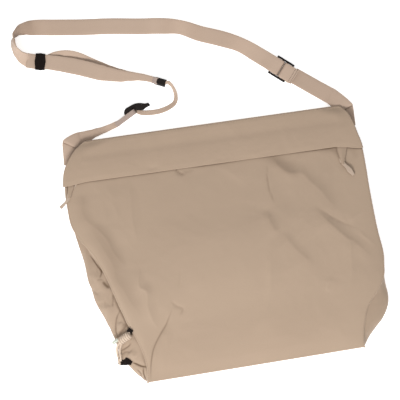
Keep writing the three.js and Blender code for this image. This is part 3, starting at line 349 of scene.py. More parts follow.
@dataclass
class Strip:
    """Stations of a flat strip.

    Attributes:
        place: Their centres, (N, 3).
        side: Width directions, (N, 3).
        width: Full widths.
        thick: Full thicknesses.
        shade: Painted shade at each station, none if left out.
    """

    place: Array
    side: Array
    width: Array
    thick: Array
    shade: Array | None = None

    def __post_init__(self) -> None:
        """Starts with no painted shade."""
        if self.shade is None:
            self.shade = np.zeros(len(self.place))

    def columns(self) -> tuple[Array, ...]:
        """Its five arrays, in order."""
        return self.place, self.side, self.width, self.thick, self.shade

    def then(self, other: "Strip", flip: bool = False, skip: int = 0) -> "Strip":
        """Joins another run on at the end.

        Args:
            other: The other run.
            flip: Whether it is turned over.
            skip: How many of its first stations are left out.

        Returns:
            The longer run.
        """
        more = other.flipped() if flip else other
        return Strip(*(np.concatenate([a, b[skip:]]) for a, b in zip(self.columns(), more.columns())))

    def flipped(self) -> "Strip":
        """The same run with its width directions turned round."""
        return Strip(self.place, -self.side, self.width, self.thick, self.shade)

    def reversed(self) -> "Strip":
        """The same run from its other end."""
        return Strip(*(column[::-1] for column in self.columns()))

    def finer(self, step: float) -> "Strip":
        """The same run with stations at an even step along a smooth curve.

        Args:
            step: Spacing of the stations, in millimetres.

        Returns:
            The finer run.
        """
        keep = np.concatenate([[True], np.linalg.norm(np.diff(self.place, axis=0), axis=1) > 0.05])
        place = self.place[keep]
        run = walked(place)
        count = max(int(run[-1] / step), 4)
        t = np.interp(np.linspace(0.0, run[-1], count + 1), run, np.linspace(0.0, 1.0, len(run)))
        index = t * (len(run) - 1)
        read = lambda values: np.interp(index, np.arange(len(run)), values[keep])
        side = np.stack([read(self.side[:, k]) for k in range(3)], axis=1)
        return Strip(curve(place, t), unit(side), read(self.width), read(self.thick), read(self.shade))


UPPER_SECTION = np.array([(-1.0, 0.0), (-0.985, 0.75), (-0.93, 1.0), (-0.55, 0.96), (0.0, 0.95), (0.55, 0.96),
                          (0.93, 1.0), (0.985, 0.75)])
SECTION = np.concatenate([UPPER_SECTION, -UPPER_SECTION])


def sweep_mesh(
    name: str, place: Array, across: Array, normal: Array, section: Array, run: Array, shade: Array | None = None
) -> bpy.types.Object:
    """Sweeps a closed section along stations and caps both ends.

    Args:
        name: Name of the object.
        place: Station centres, (N, 3).
        across: Scaled first axis of the section at each station, (N, 3).
        normal: Scaled second axis at each station, (N, 3).
        section: Points of the section, (S, 2), counter-clockwise seen against the run.
        run: Length walked at each station, for the cloth map.
        shade: Painted shade at each station.

    Returns:
        The linked object.
    """
    count, sides = len(place), len(section)
    points = place[:, None] + across[:, None] * section[None, :, :1] + normal[:, None] * section[None, :, 1:]
    faces = []
    for k in range(count - 1):
        for i in range(sides):
            a, b = k * sides + i, k * sides + (i + 1) % sides
            faces.append((a, a + sides, b + sides, b))
    faces.append(tuple(range(sides)))
    faces.append(tuple(range(count * sides - 1, (count - 1) * sides - 1, -1)))
    half = np.linalg.norm(across, axis=1)
    u = np.repeat(run, sides)
    v = (half[:, None] * section[None, :, 0]).ravel()
    depth = None if shade is None else np.repeat(shade, sides)
    made = mesh_object(name, points.reshape(-1, 3), faces, np.stack([u, v], axis=1), True, depth)
    make_normals_outward(made)
    return made


def make_normals_outward(made: bpy.types.Object) -> None:
    """Turns every face of a closed mesh outward.

    Args:
        made: The object, changed in place.
    """
    work = bmesh.new()
    work.from_mesh(made.data)
    bmesh.ops.recalc_face_normals(work, faces=work.faces)
    work.to_mesh(made.data)
    work.free()


def strip_mesh(name: str, strip: Strip, step: float = 1.2) -> bpy.types.Object:
    """Woven strip with slightly beaded edges along its stations.

    Args:
        name: Name of the object.
        strip: Its stations.
        step: Spacing of the finer stations, in millimetres.

    Returns:
        The linked object.
    """
    fine = strip.finer(step)
    normal = unit(np.cross(unit(np.gradient(fine.place, axis=0)), fine.side))
    across, high = fine.side * fine.width[:, None] / 2, normal * fine.thick[:, None] / 2
    return sweep_mesh(name, fine.place, across, high, SECTION, walked(fine.place), fine.shade)


def tube_mesh(name: str, place: Array, radius: Array | float, sides: int = 14) -> bpy.types.Object:
    """Round tube along a path, with a map that runs along and round it.

    Args:
        name: Name of the object.
        place: Centres along the path, (N, 3).
        radius: Its radius, or one for each centre.
        sides: Number of sides.

    Returns:
        The linked object.
    """
    tangent = unit(np.gradient(place, axis=0))
    axes = [unit(np.cross(tangent[0], UP + 0.01))]
    for heading in tangent[1:]:
        axes.append(unit(axes[-1] - np.dot(axes[-1], heading) * heading))
    across = np.array(axes)
    normal = np.cross(tangent, across)
    angles = np.linspace(0.0, 2.0 * math.pi, sides, endpoint=False)
    section = np.stack([np.cos(angles), np.sin(angles)], axis=1)
    size = np.broadcast_to(np.asarray(radius, float), (len(place),))[:, None]
    return sweep_mesh(name, place, across * size, normal * size, section, walked(place))


def resampled(points: Array, step: float) -> Array:
    """Points at an even step along the smooth curve through the given ones.

    Args:
        points: The given points, (K, 3).
        step: Spacing in millimetres.

    Returns:
        The new points, (N, 3).
    """
    dense = curve(np.asarray(points, float), np.linspace(0.0, 1.0, 24 * len(points)))
    run = walked(dense)
    at = np.linspace(0.0, run[-1], max(int(run[-1] / step), 2) + 1)
    return np.stack([np.interp(at, run, dense[:, k]) for k in range(3)], axis=1)


class Wires:
    """Short way to add and join the nodes of one tree."""

    def __init__(self, tree: bpy.types.NodeTree) -> None:
        """Keeps the tree that the nodes go into."""
        self.tree = tree

    def join(self, node: bpy.types.Node, **inputs: Input) -> None:
        """Sets or links inputs of a node.

        Args:
            node: The node.
            **inputs: A value or socket for each input, named or as i0, i1 and so on.
        """
        for key, value in inputs.items():
            by_place = key[0] == "i" and key[1:].isdigit()
            socket = node.inputs[int(key[1:]) if by_place else key.replace("_", " ")]
            if isinstance(value, bpy.types.NodeSocket):
                self.tree.links.new(value, socket)
            else:
                socket.default_value = value

    def add(self, kind: str, settings: dict | None = None, **inputs: Input) -> bpy.types.Node:
        """Adds a node.

        Args:
            kind: The node's type.
            settings: Properties to set on it.
            **inputs: Its inputs, as for join.

        Returns:
            The node.
        """
        node = self.tree.nodes.new(kind)
        for key, value in (settings or {}).items():
            setattr(node, key, value)
        self.join(node, **inputs)
        return node

    def math(self, operation: str, a: Input, b: Input = 0.0, c: Input = 0.0) -> bpy.types.NodeSocket:
        """Adds a Math node and gives its result."""
        return self.add("ShaderNodeMath", {"operation": operation}, i0=a, i1=b, i2=c).outputs[0]

    def wave(self, place: Input) -> bpy.types.NodeSocket:
        """Gives the round backs of a row of threads."""
        return self.math("ABSOLUTE", self.math("SINE", place))

    def tint(self, share: Input, a: Input, b: Input) -> bpy.types.NodeSocket:
        """Blends two colours by a share."""
        solid = lambda colour: (*colour, 1.0) if isinstance(colour, tuple) else colour
        return self.add("ShaderNodeMix", {"data_type": "RGBA"}, i0=share, i6=solid(a), i7=solid(b)).outputs[2]

    def noise(self, spot: Input, scale: Input, settings: dict | None = None, **more: Input) -> bpy.types.NodeSocket:
        """Adds a noise and gives its value."""
        return self.add("ShaderNodeTexNoise", settings, Vector=spot, Scale=scale, **more).outputs[0]

    def group(self, name: str, **inputs: Input) -> bpy.types.bpy_prop_collection:
        """Adds a shared group and gives its outputs."""
        return self.add("ShaderNodeGroup", {"node_tree": shared_group(name)}, **inputs).outputs


def shader_group(name: str, inputs: dict[str, float | None], outputs: Sequence[str]) -> tuple:
    """Starts a shader node group.

    Args:
        name: Name of the group.
        inputs: Each input's name and its value, or None for a vector.
        outputs: Names of the outputs, all values.

    Returns:
        The group's Wires, its input node and its output node.
    """
    group = bpy.data.node_groups.new(name, "ShaderNodeTree")
    for label, value in inputs.items():
        kind = "NodeSocketVector" if value is None else "NodeSocketFloat"
        socket = group.interface.new_socket(name=label, in_out="INPUT", socket_type=kind)
        if value is not None:
            socket.default_value = value
    for label in outputs:
        group.interface.new_socket(name=label, in_out="OUTPUT", socket_type="NodeSocketFloat")
    w = Wires(group)
    return w, w.add("NodeGroupInput"), w.add("NodeGroupOutput")


def thread_group(name: str, turn: float, **inputs: float) -> tuple:
    """Starts a group of threads, with a height and a shade between 0 and 1.

    Args:
        name: Name of the group.
        turn: How far the pattern turns over one pitch, in radians.
        **inputs: The group's values.

    Returns:
        The group's Wires, its input and output nodes, the map's two axes and the turn a metre.
    """
    w, come, go = shader_group(name, {"Place": None, **inputs}, ("Height", "Shade"))
    parts = w.add("ShaderNodeSeparateXYZ", i0=come.outputs["Place"])
    return w, come, go, parts.outputs[0], parts.outputs[1], w.math("DIVIDE", turn, come.outputs["Pitch"])


def weave_group() -> bpy.types.NodeTree:
    """Plain weave, with threads that pass over and under each other.

    Returns:
        The group.
    """
    w, _, go, x, y, turn = thread_group("Plain weave", math.pi, Pitch=0.0005)
    u, v = w.math("MULTIPLY", x, turn), w.math("MULTIPLY", y, turn)
    over = w.math("SINE", w.math("ADD", w.math("MULTIPLY", u, 0.5), w.math("MULTIPLY", v, 0.5)))
    share = w.math("MULTIPLY_ADD", over, 0.5, 0.5)
    weft = w.math("MULTIPLY", w.wave(v), w.math("SUBTRACT", 1.0, share))
    height = w.math("ADD", w.math("MULTIPLY", w.wave(u), share), weft)
    w.join(go, Height=height, Shade=w.math("SMOOTH_MIN", height, 0.8, 0.3))
    return w.tree


def rib_group() -> bpy.types.NodeTree:
    """Webbing, with fine ribs across the strip in a herringbone.

    Returns:
        The group.
    """
    w, come, go, x, y, turn = thread_group("Webbing ribs", 2 * math.pi, Pitch=0.0012, Slant=0.6)
    along = w.math("ADD", x, w.math("MULTIPLY", w.math("PINGPONG", y, 0.0016), come.outputs["Slant"]))
    rib = w.math("MULTIPLY_ADD", w.math("SINE", w.math("MULTIPLY", along, turn)), 0.5, 0.5)
    cords = w.wave(w.math("MULTIPLY", y, w.math("MULTIPLY", turn, 0.75)))
    height = w.math("MULTIPLY_ADD", cords, 0.45, w.math("MULTIPLY", rib, 0.55))
    w.join(go, Height=height, Shade=w.math("SMOOTH_MIN", height, 0.7, 0.3))
    return w.tree


def braid_group() -> bpy.types.NodeTree:
    """Braided cord, with two sets of strands wound against each other.

    Returns:
        The group.
    """
    w, _, go, x, y, turn = thread_group("Cord braid", math.pi, Pitch=0.0014)
    u, v = w.math("MULTIPLY", x, turn), w.math("MULTIPLY", y, turn)
    height = w.math("MAXIMUM", w.wave(w.math("ADD", u, v)), w.wave(w.math("SUBTRACT", u, v)))
    w.join(go, Height=height, Shade=w.math("POWER", height, 2.0))
    return w.tree


def mottle_group() -> bpy.types.NodeTree:
    """Soft uneven tone at two scales, and fine crinkles, all in object space.

    Returns:
        The group.
    """
    w, come, go = shader_group("Cloth mottle", {"Place": None, "Scale": 1.0}, ("Tone", "Fine", "Crinkle"))
    spot = come.outputs["Place"]
    scaled = lambda by: w.math("MULTIPLY", come.outputs["Scale"], by)
    ridged = {"noise_type": "RIDGED_MULTIFRACTAL", "normalize": True}
    w.join(
        go,
        Tone=w.noise(spot, scaled(9.0), Detail=2.0),
        Fine=w.noise(spot, scaled(900.0), Detail=2.0),
        Crinkle=w.noise(spot, scaled(42.0), ridged, Detail=3.0, Roughness=0.45, Distortion=0.6),
    )
    return w.tree


@cache
def shared_group(name: str) -> bpy.types.NodeTree:
    """The shader group of a name, made once."""
    makers = {"Plain weave": weave_group, "Webbing ribs": rib_group, "Cord braid": braid_group}
    return makers.get(name, mottle_group)()


def blank_material(name: str) -> tuple[bpy.types.Material, Wires, bpy.types.Node]:
    """Starts a material.

    Args:
        name: Name of the material.

    Returns:
        The material, its Wires and its surface node.
    """
    made = bpy.data.materials.new(name)
    made.use_nodes = True
    return made, Wires(made.node_tree), made.node_tree.nodes["Principled BSDF"]


class Make(Enum):
    """How a textile is made."""

    WOVEN = "Plain weave"
    RIBBED = "Webbing ribs"
    BRAIDED = "Cord braid"


@dataclass(frozen=True)
class Textile:
    """A woven, ribbed or braided finish.

    Attributes:
        name: Name of the material.
        make: How it is made.
        colour: Main colour, linear.
        deep: Colour of the painted shade between the threads, linear; a darker tone of it is the painted shade in
            folds.
        pitch: Thread spacing in metres.
        relief: Height of the threads in metres.
        crinkle: Height of the fine crinkles in metres.
        roughness: Surface roughness.
        sheen: Weight of the fabric sheen.
        shine: Strength of the reflections.
    """

    name: str
    make: Make
    colour: Colour
    deep: Colour
    pitch: float
    relief: float
    crinkle: float = 0.0
    roughness: float = 0.8
    sheen: float = 0.15
    shine: float = 0.25

    def build(self) -> bpy.types.Material:
        """Builds the material from the shared groups.

        Returns:
            The material.
        """
        made, w, skin = blank_material(self.name)
        place = w.add("ShaderNodeTexCoord").outputs
        weave = w.group(self.make.value, Place=place["UV"], Pitch=self.pitch)
        mottle = w.group("Cloth mottle", Place=place["Object"])
        # Painted shade: the mesh's shade attribute darkens the colour towards a deeper tone of the colour between the
        # threads.
        fold = w.add("ShaderNodeAttribute", {"attribute_name": "painted_shade"}).outputs["Fac"]
        dark = tuple(c * s for c, s in zip(self.deep, (0.3, 0.23, 0.16)))
        base = w.tint(fold, w.tint(weave["Shade"], self.deep, self.colour), dark)
        tone = w.math("MULTIPLY_ADD", mottle["Tone"], 0.12, 0.94)
        flecks = w.math("MULTIPLY_ADD", mottle["Fine"], 0.08, 0.96)
        value = w.add("ShaderNodeHueSaturation", None, Value=w.math("MULTIPLY", tone, flecks), Color=base)
        threads = w.math("MULTIPLY", weave["Height"], self.relief / MM)
        height = w.math("MULTIPLY_ADD", mottle["Crinkle"], self.crinkle / MM, threads)
        bump = w.add("ShaderNodeBump", None, Strength=1.0, Distance=MM, Height=height)
        rough = w.math("MULTIPLY_ADD", mottle["Fine"], 0.12, self.roughness - 0.06)
        w.join(skin, Base_Color=value.outputs[0], Normal=bump.outputs[0], Roughness=rough, Sheen_Weight=self.sheen,
               Sheen_Roughness=0.5, Specular_IOR_Level=self.shine)
        return made


@dataclass(frozen=True)
class Moulded:
    """A moulded plastic finish with a faint grain.

    Attributes:
        name: Name of the material.
        colour: Main colour, linear.
        worn: Colour of the rubbed patches, linear.
        roughness: Surface roughness.
        clear: Share of light let through.
        shine: Strength of the reflections.
    """

    name: str
    colour: Colour
    worn: Colour
    roughness: float = 0.4
    clear: float = 0.0
    shine: float = 0.12

    def build(self) -> bpy.types.Material:
        """Builds the material from the shared groups.

        Returns:
            The material.
        """
        made, w, skin = blank_material(self.name)
        place = w.add("ShaderNodeTexCoord").outputs["Object"]
        mottle = w.group("Cloth mottle", Place=place, Scale=3.0)
        base = w.tint(w.math("MULTIPLY", mottle["Tone"], mottle["Fine"]), self.colour, self.worn)
        bump = w.add("ShaderNodeBump", None, Strength=0.5, Distance=0.00004, Height=mottle["Fine"])
        rough = w.math("MULTIPLY_ADD", mottle["Fine"], 0.16, self.roughness - 0.08)
        w.join(skin, Base_Color=base, Normal=bump.outputs[0], Roughness=rough, Transmission_Weight=self.clear,
               Specular_IOR_Level=self.shine)
        return made


# Each textile's second colour is the painted shade between its threads and, darker still, in its folds and gaps.
CLOTH = Textile("Tan ripstop cloth", Make.WOVEN, (0.372, 0.276, 0.2), (0.3, 0.222, 0.16),
                pitch=0.0005, relief=0.00003, crinkle=0.00022, roughness=0.74, sheen=0.12)
WEBBING = Textile("Tan webbing", Make.RIBBED, (0.47, 0.355, 0.275), (0.37, 0.27, 0.205),
                  pitch=0.0012, relief=0.00009, crinkle=0.0, roughness=0.8, sheen=0.12)
TAPE = Textile("Grey pink tape", Make.RIBBED, (0.37, 0.29, 0.245), (0.3, 0.23, 0.2),
               pitch=0.0008, relief=0.00005, crinkle=0.0, roughness=0.62, sheen=0.1)
PULL = Textile("Pull ribbon", Make.RIBBED, (0.43, 0.335, 0.262), (0.33, 0.25, 0.19),
               pitch=0.0007, relief=0.00005, crinkle=0.0, roughness=0.65, sheen=0.1)
BLACK_WEB = Textile("Black webbing", Make.RIBBED, (0.013, 0.009, 0.0075), (0.006, 0.004, 0.0035),
                    pitch=0.0011, relief=0.00009, crinkle=0.0, roughness=0.85, sheen=0.0, shine=0.08)
CORD = Textile("Pale braided cord", Make.BRAIDED, (0.55, 0.44, 0.345), (0.32, 0.235, 0.17),
               pitch=0.0015, relief=0.00016, crinkle=0.0, roughness=0.6, sheen=0.1)
THREAD = Textile("Sewing thread", Make.BRAIDED, (0.33, 0.24, 0.175), (0.24, 0.17, 0.12),
                 pitch=0.0006, relief=0.00003, crinkle=0.0, roughness=0.6, sheen=0.1)
DARK_THREAD = Textile("Dark sewing thread", Make.BRAIDED, (0.07, 0.036, 0.026), (0.05, 0.028, 0.02),
                      pitch=0.0006, relief=0.00003, crinkle=0.0, roughness=0.6, sheen=0.1)
PLASTIC = Moulded("Black moulded plastic", (0.008, 0.006, 0.005), (0.022, 0.017, 0.015),
                  roughness=0.46)
COIL = Moulded("Zip coil", (0.22, 0.165, 0.13), (0.3, 0.23, 0.18),
               roughness=0.45)
CLEAR = Moulded("Clear grey green plastic", (0.5, 0.53, 0.45), (0.6, 0.62, 0.53),
                roughness=0.3, clear=0.2, shine=0.4)


@cache
def material_of(finish: Textile | Moulded) -> bpy.types.Material:
    """The material of a finish, built once."""
    return finish.build()


def place(made: bpy.types.Object, finish: Textile | Moulded | None, slot: str, *nodes: str) -> None:
    """Dresses a finished piece and ties it to the frame.

    Args:
        made: The piece.
        finish: Its finish, or None if it already has its material.
        slot: Not used.
        *nodes: Solids that it stands for.
    """
    if finish is not None:
        made.data.materials.clear()
        made.data.materials.append(material_of(finish))
    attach(made, "root")
    if nodes:
        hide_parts(*nodes)
    log.info("%s: %d faces", made.name, len(made.data.polygons))


class Bend(Enum):
    """What a fold line does to the cloth."""

    RIDGE = "raised"
    CREASE = "pressed in"
    FALL = "crest that falls away on the right of its run"


@dataclass(frozen=True)
class Fold:
    """One fold line of the cloth.

    Attributes:
        bend: What it does to the cloth.
        path: Places as shares of the bag's width and height.
        size: Height in millimetres.
        spread: Width in millimetres.
        dark: How dark the painted shade along its line is.
        reach: How far a crest's gentle side runs, in millimetres.
        line: Half width of its painted shade line, in millimetres.
    """

    bend: Bend
    path: tuple[tuple[float, float], ...]
    size: float
    spread: float
    dark: float = 0.0
    reach: float = 24.0
    line: float = 0.9

    def nearest(self, x: Array, y: Array) -> tuple[Array, Array, Array]:
        """Measures places against the line.

        Args:
            x: First place, in millimetres.
            y: Second place.

        Returns:
            Distance to the line, the same with its side as a sign, and the taper towards its ends.
        """
        points = np.array([(a * WIDTH, b * HEIGHT) for a, b in self.path])
        if len(points) > 2:
            flat = np.concatenate([points, np.zeros((len(points), 1))], axis=1)
            points = curve(flat, np.linspace(0.0, 1.0, 4 * len(points)))[:, :2]
        best = np.full(x.shape, 1e9)
        signed, along = np.zeros(x.shape), np.zeros(x.shape)
        upto = walked(points)
        lengths = np.linalg.norm(np.diff(points, axis=0), axis=1)
        for k in range(len(points) - 1):
            run = points[k + 1] - points[k]
            dx, dy = x - points[k][0], y - points[k][1]
            t = np.clip((dx * run[0] + dy * run[1]) / (run @ run), 0.0, 1.0)
            away = np.hypot(dx - t * run[0], dy - t * run[1])
            nearer = away < best
            best = np.where(nearer, away, best)
            signed = np.where(nearer, (run[0] * dy - run[1] * dx) / lengths[k], signed)
            along = np.where(nearer, (upto[k] + t * lengths[k]) / upto[-1], along)
        return best, signed, smoothstep(0.0, 0.3, along) * smoothstep(1.0, 0.7, along)

    def relief(self, x: Array, y: Array) -> Array:
        """Height that the fold adds.

        Args:
            x: First place, in millimetres.
            y: Second place.

        Returns:
            Heights in millimetres.
        """
        best, signed, taper = self.nearest(x, y)
        if self.bend is Bend.RIDGE:
            shape = np.exp(-((best / self.spread) ** 2))
        elif self.bend is Bend.CREASE:
            shape = -np.exp(-best / self.spread)
        else:
            width = self.spread * lerp(0.55, 1.0, taper)
            fall = np.clip(1.0 - best / width, 0.0, 1.0) ** 2
            shape = np.where(signed < 0.0, fall, np.exp(-best / self.reach))
        return FOLD_STRENGTH * self.size * taper * shape

    def shade(self, x: Array, y: Array) -> Array:
        """Painted shade along the fold's line.

        Args:
            x: First place, in millimetres.
            y: Second place.

        Returns:
            Values between 0 and 1.
        """
        if self.dark == 0.0:
            return np.zeros(x.shape)
        best, _, taper = self.nearest(x, y)
        return self.dark * np.sqrt(taper) * np.exp(-((best / self.line) ** 2))


FRONT_EDGES = Table(("up", "left", "right"), (
    (0, -0.303, 0.417), (0.06, -0.299, 0.421), (0.12, -0.304, 0.432), (0.18, -0.317, 0.451), (0.25, -0.34, 0.494),
    (0.3, -0.352, 0.514), (0.34, -0.362, 0.519), (0.4, -0.375, 0.5225), (0.49, -0.397, 0.515), (0.57, -0.424, 0.511),
    (0.63, -0.455, 0.509), (0.7, -0.481, 0.507), (0.78, -0.487, 0.506), (0.87, -0.486, 0.502), (0.94, -0.474, 0.489),
    (1, -0.446, 0.476)))
SIDE_EDGES = Table(("up", "left", "right"), (
    (0, -0.31, 0.42), (0.04, -0.335, 0.439), (0.075, -0.351, 0.462), (0.11, -0.374, 0.489), (0.155, -0.384, 0.51),
    (0.2, -0.39, 0.517), (0.27, -0.408, 0.5165), (0.34, -0.424, 0.516), (0.39, -0.438, 0.516), (0.45, -0.449, 0.514),
    (0.55, -0.457, 0.51), (0.65, -0.471, 0.505), (0.72, -0.478, 0.503), (0.8, -0.48, 0.501), (0.88, -0.478, 0.497),
    (0.94, -0.466, 0.484), (1, -0.44, 0.468)))
DEPTHS = Table(("up", "left", "right", "crown"), (
    (0, 0.86, 0.84, 0.26), (0.06, 0.95, 0.9, 0.56), (0.16, 1, 0.9, 0.86), (0.28, 0.98, 0.74, 1),
    (0.42, 0.88, 0.56, 1.13), (0.57, 0.66, 0.46, 1.08), (0.7, 0.48, 0.4, 0.72), (0.86, 0.34, 0.33, 0.26),
    (1, 0.27, 0.27, 0)))
TUCKS = Table(("up", "left", "right"), (
    (0, 0, 0), (0.2, 0, 0), (0.3, 0, -0.004), (0.4, 0, -0.022), (0.52, -0.004, -0.034), (0.62, -0.02, -0.036),
    (0.72, -0.034, -0.036), (1, -0.036, -0.036)))
FLAP_EDGES = Table(("up", "left", "right"), (
    (0, -0.491, 0.505), (0.15, -0.488, 0.501), (0.35, -0.481, 0.493), (0.55, -0.466, 0.486), (0.75, -0.443, 0.475),
    (0.9, -0.418, 0.458), (1, -0.4, 0.441)))

# Folds of the front; each fold's dark value paints shade along its line.
FOLDS = (
    Fold(Bend.FALL, ((-0.289, -0.253), (-0.321, -0.184), (-0.339, -0.125), (-0.361, -0.072), (-0.363, -0.022),
                     (-0.392, 0.067), (-0.422, 0.149)), 3.2, 19.0, 0.16, 30.0, 9.0),
    Fold(Bend.FALL, ((-0.32, -0.033), (-0.357, 0.04), (-0.368, 0.084), (-0.391, 0.13), (-0.429, 0.182)),
         1.7, 14.0, 0.14, 10.0, 6.0),
    Fold(Bend.FALL, ((-0.408, 0.15), (-0.429, 0.182), (-0.439, 0.216), (-0.436, 0.264), (-0.442, 0.297)),
         2.4, 14.0, 0.12, 16.0, 7.0),
    Fold(Bend.FALL, ((-0.24, -0.311), (-0.258, -0.266), (-0.268, -0.208), (-0.266, -0.141), (-0.286, -0.12),
                     (-0.277, -0.038)), 1.9, 13.0, 0.0, 13.0),
    Fold(Bend.FALL, ((-0.27, 0.05), (-0.28, 0.152), (-0.277, 0.222), (-0.27, 0.33)), 1.2, 13.0, 0.0, 26.0),
    Fold(Bend.CREASE, ((-0.19, -0.228), (-0.216, -0.287), (-0.243, -0.331), (-0.269, -0.383), (-0.284, -0.443),
                       (-0.293, -0.515)), 1.5, 2.4, 0.5),
    Fold(Bend.RIDGE, ((-0.262, -0.5), (-0.236, -0.4), (-0.205, -0.3)), 0.8, 5.0),
    Fold(Bend.CREASE, ((-0.194, -0.192), (-0.175, -0.219), (-0.156, -0.234), (-0.169, -0.26)), 0.7, 1.8, 0.2),
    Fold(Bend.CREASE, ((-0.145, -0.06), (-0.152, -0.11), (-0.16, -0.15)), 0.3, 3.0, 0.05),
    Fold(Bend.FALL, ((0.395, 0.07), (0.363, 0.136), (0.345, 0.174), (0.316, 0.218), (0.293, 0.254), (0.25, 0.265),
                     (0.225, 0.294), (0.199, 0.333)), 1.5, 17.0, 0.06, 26.0, 7.0),
    Fold(Bend.FALL, ((0.29, 0.25), (0.25, 0.262), (0.223, 0.298), (0.195, 0.345)), 0.9, 11.0, 0.1, 12.0, 4.0),
    Fold(Bend.CREASE, ((0.192, 0.141), (0.181, 0.196), (0.178, 0.239), (0.183, 0.31)), 0.8, 2.0, 0.28),
    Fold(Bend.FALL, ((0.195, 0.13), (0.181, 0.196), (0.178, 0.239), (0.183, 0.31)), 0.8, 10.0, 0.0, 10.0),
    Fold(Bend.FALL, ((0.192, 0.01), (0.169, 0.065), (0.158, 0.126)), 1.1, 10.0, 0.06, 14.0, 5.0),
    Fold(Bend.FALL, ((0.289, -0.14), (0.27, -0.103), (0.237, -0.052), (0.207, 0.006), (0.187, 0.024)),
         0.8, 11.0, 0.05, 16.0, 6.0),
    Fold(Bend.FALL, ((0.49, -0.15), (0.44, -0.068), (0.405, -0.031), (0.372, 0.015), (0.343, 0.061), (0.308, 0.115)),
         1.5, 12.0, 0.06, 20.0, 5.0),
    Fold(Bend.CREASE, ((0.318, 0.108), (0.346, 0.083), (0.375, 0.051), (0.408, 0.023), (0.457, -0.011)),
         0.5, 2.0, 0.16),
    Fold(Bend.RIDGE, ((0.446, -0.012), (0.475, -0.052), (0.513, -0.1)), 0.6, 2.6),
    Fold(Bend.FALL, ((0.408, -0.225), (0.415, -0.119), (0.422, -0.03)), 0.6, 10.0, 0.0, 14.0),
    Fold(Bend.FALL, ((0.153, -0.04), (0.138, -0.196), (0.121, -0.259), (0.103, -0.309), (0.073, -0.359),
                     (0.052, -0.41)), 0.9, 9.0, 0.0, 12.0),
    Fold(Bend.FALL, ((0.34, -0.185), (0.316, -0.25)), 0.5, 6.0, 0.0, 6.0),
    Fold(Bend.FALL, ((0.42, 0.02), (0.464, 0.055), (0.512, 0.062)), 0.8, 9.0, 0.0, 12.0),
    Fold(Bend.CREASE, ((-0.12, 0.35), (-0.108, 0.33), (-0.088, 0.313)), 1.3, 1.6, 0.5),
    Fold(Bend.FALL, ((0.02, 0.34), (0.06, 0.3), (0.11, 0.235)), 0.3, 9.0, 0.0, 12.0),
    Fold(Bend.CREASE, ((-0.1, 0.33), (-0.055, 0.335)), 0.8, 2.0, 0.0),
    Fold(Bend.RIDGE, ((0.505, -0.26), (0.44, -0.42)), 0.8, 5.0),
    # These three have no height: they only paint shadow below the band's edge and beside the right pull.
    Fold(Bend.RIDGE, ((0.15, 0.365), (0.21, 0.33), (0.25, 0.3), (0.29, 0.28)), 0.0, 5.0, 0.16, 20.0, 6.0),
    Fold(Bend.RIDGE, ((0.36, 0.345), (0.405, 0.335), (0.428, 0.3), (0.44, 0.24)), 0.0, 5.0, 0.3, 20.0, 4.0),
    Fold(Bend.RIDGE, ((0.46, 0.345), (0.47, 0.32), (0.48, 0.28)), 0.0, 5.0, 0.12, 20.0, 4.0),
)

# Creases of the left side cloth; their dark values paint shade along them.
SIDE_FOLDS = (
    Fold(Bend.CREASE, ((-0.436, 0.043), (-0.423, 0.012), (-0.412, -0.015), (-0.404, -0.037), (-0.413, -0.064)),
         1.6, 2.0, 0.9),
    Fold(Bend.CREASE, ((-0.405, -0.075), (-0.396, -0.092), (-0.386, -0.11)), 1.2, 2.4, 0.75, 24.0, 1.8),
    Fold(Bend.CREASE, ((-0.424, -0.068), (-0.41, -0.068), (-0.4, -0.073)), 0.5, 2.4, 0.3),
    Fold(Bend.CREASE, ((-0.362, -0.262), (-0.35, -0.272), (-0.37, -0.3), (-0.379, -0.318)),
         0.6, 2.4, 0.55, 24.0, 2.0),
    Fold(Bend.CREASE, ((-0.376, -0.13), (-0.379, -0.16), (-0.384, -0.19)), 1.2, 1.8, 0.35),
    Fold(Bend.CREASE, ((-0.358, -0.2), (-0.374, -0.233), (-0.381, -0.26), (-0.384, -0.292), (-0.379, -0.325)),
         1.6, 2.2, 0.55),
    Fold(Bend.CREASE, ((-0.348, -0.425), (-0.332, -0.436), (-0.317, -0.447), (-0.296, -0.455)),
         1.6, 2.4, 0.95, 24.0, 1.1),
    Fold(Bend.CREASE, ((-0.311, -0.452), (-0.313, -0.48), (-0.308, -0.512)), 1.4, 1.8, 0.8),
    Fold(Bend.CREASE, ((-0.347, -0.385), (-0.36, -0.38), (-0.376, -0.39)), 0.6, 1.6, 0.35),
    Fold(Bend.CREASE, ((-0.338, -0.345), (-0.352, -0.36), (-0.378, -0.374)), 1.0, 2.0, 0.6),
    Fold(Bend.CREASE, ((-0.335, -0.455), (-0.322, -0.48), (-0.328, -0.5)), 1.0, 1.8, 0.5),
    Fold(Bend.RIDGE, ((-0.435, -0.03), (-0.42, -0.06), (-0.4, -0.13)), 1.4, 5.0),
    Fold(Bend.RIDGE, ((-0.41, -0.16), (-0.395, -0.22), (-0.4, -0.28)), 1.6, 5.0),
    Fold(Bend.RIDGE, ((-0.365, -0.25), (-0.36, -0.29)), 1.6, 4.0),
    Fold(Bend.RIDGE, ((-0.35, -0.38), (-0.33, -0.41)), 1.6, 5.0),
)
# Strength of the painted shade in the gap beside the left front seam, by the share of the way up.
SIDE_GAPS = Table(("up", "dark"), (
    (0, 0), (0.06, 0.25), (0.1, 0.2), (0.16, 0.05), (0.205, 0.2), (0.24, 0.4), (0.3, 0.42), (0.38, 0.3), (0.4, 0.1),
    (0.425, 0.3), (0.45, 0.25), (0.475, 0.05), (0.5, 0.4), (0.55, 0.3), (0.58, 0.05), (0.62, 0), (1, 0)))
PLEATS = ((0.43, 0.7, 0.03), (0.35, -0.5, 0.03), (0.27, 0.8, 0.035), (0.15, 0.6, 0.03), (0.07, -0.6, 0.03))


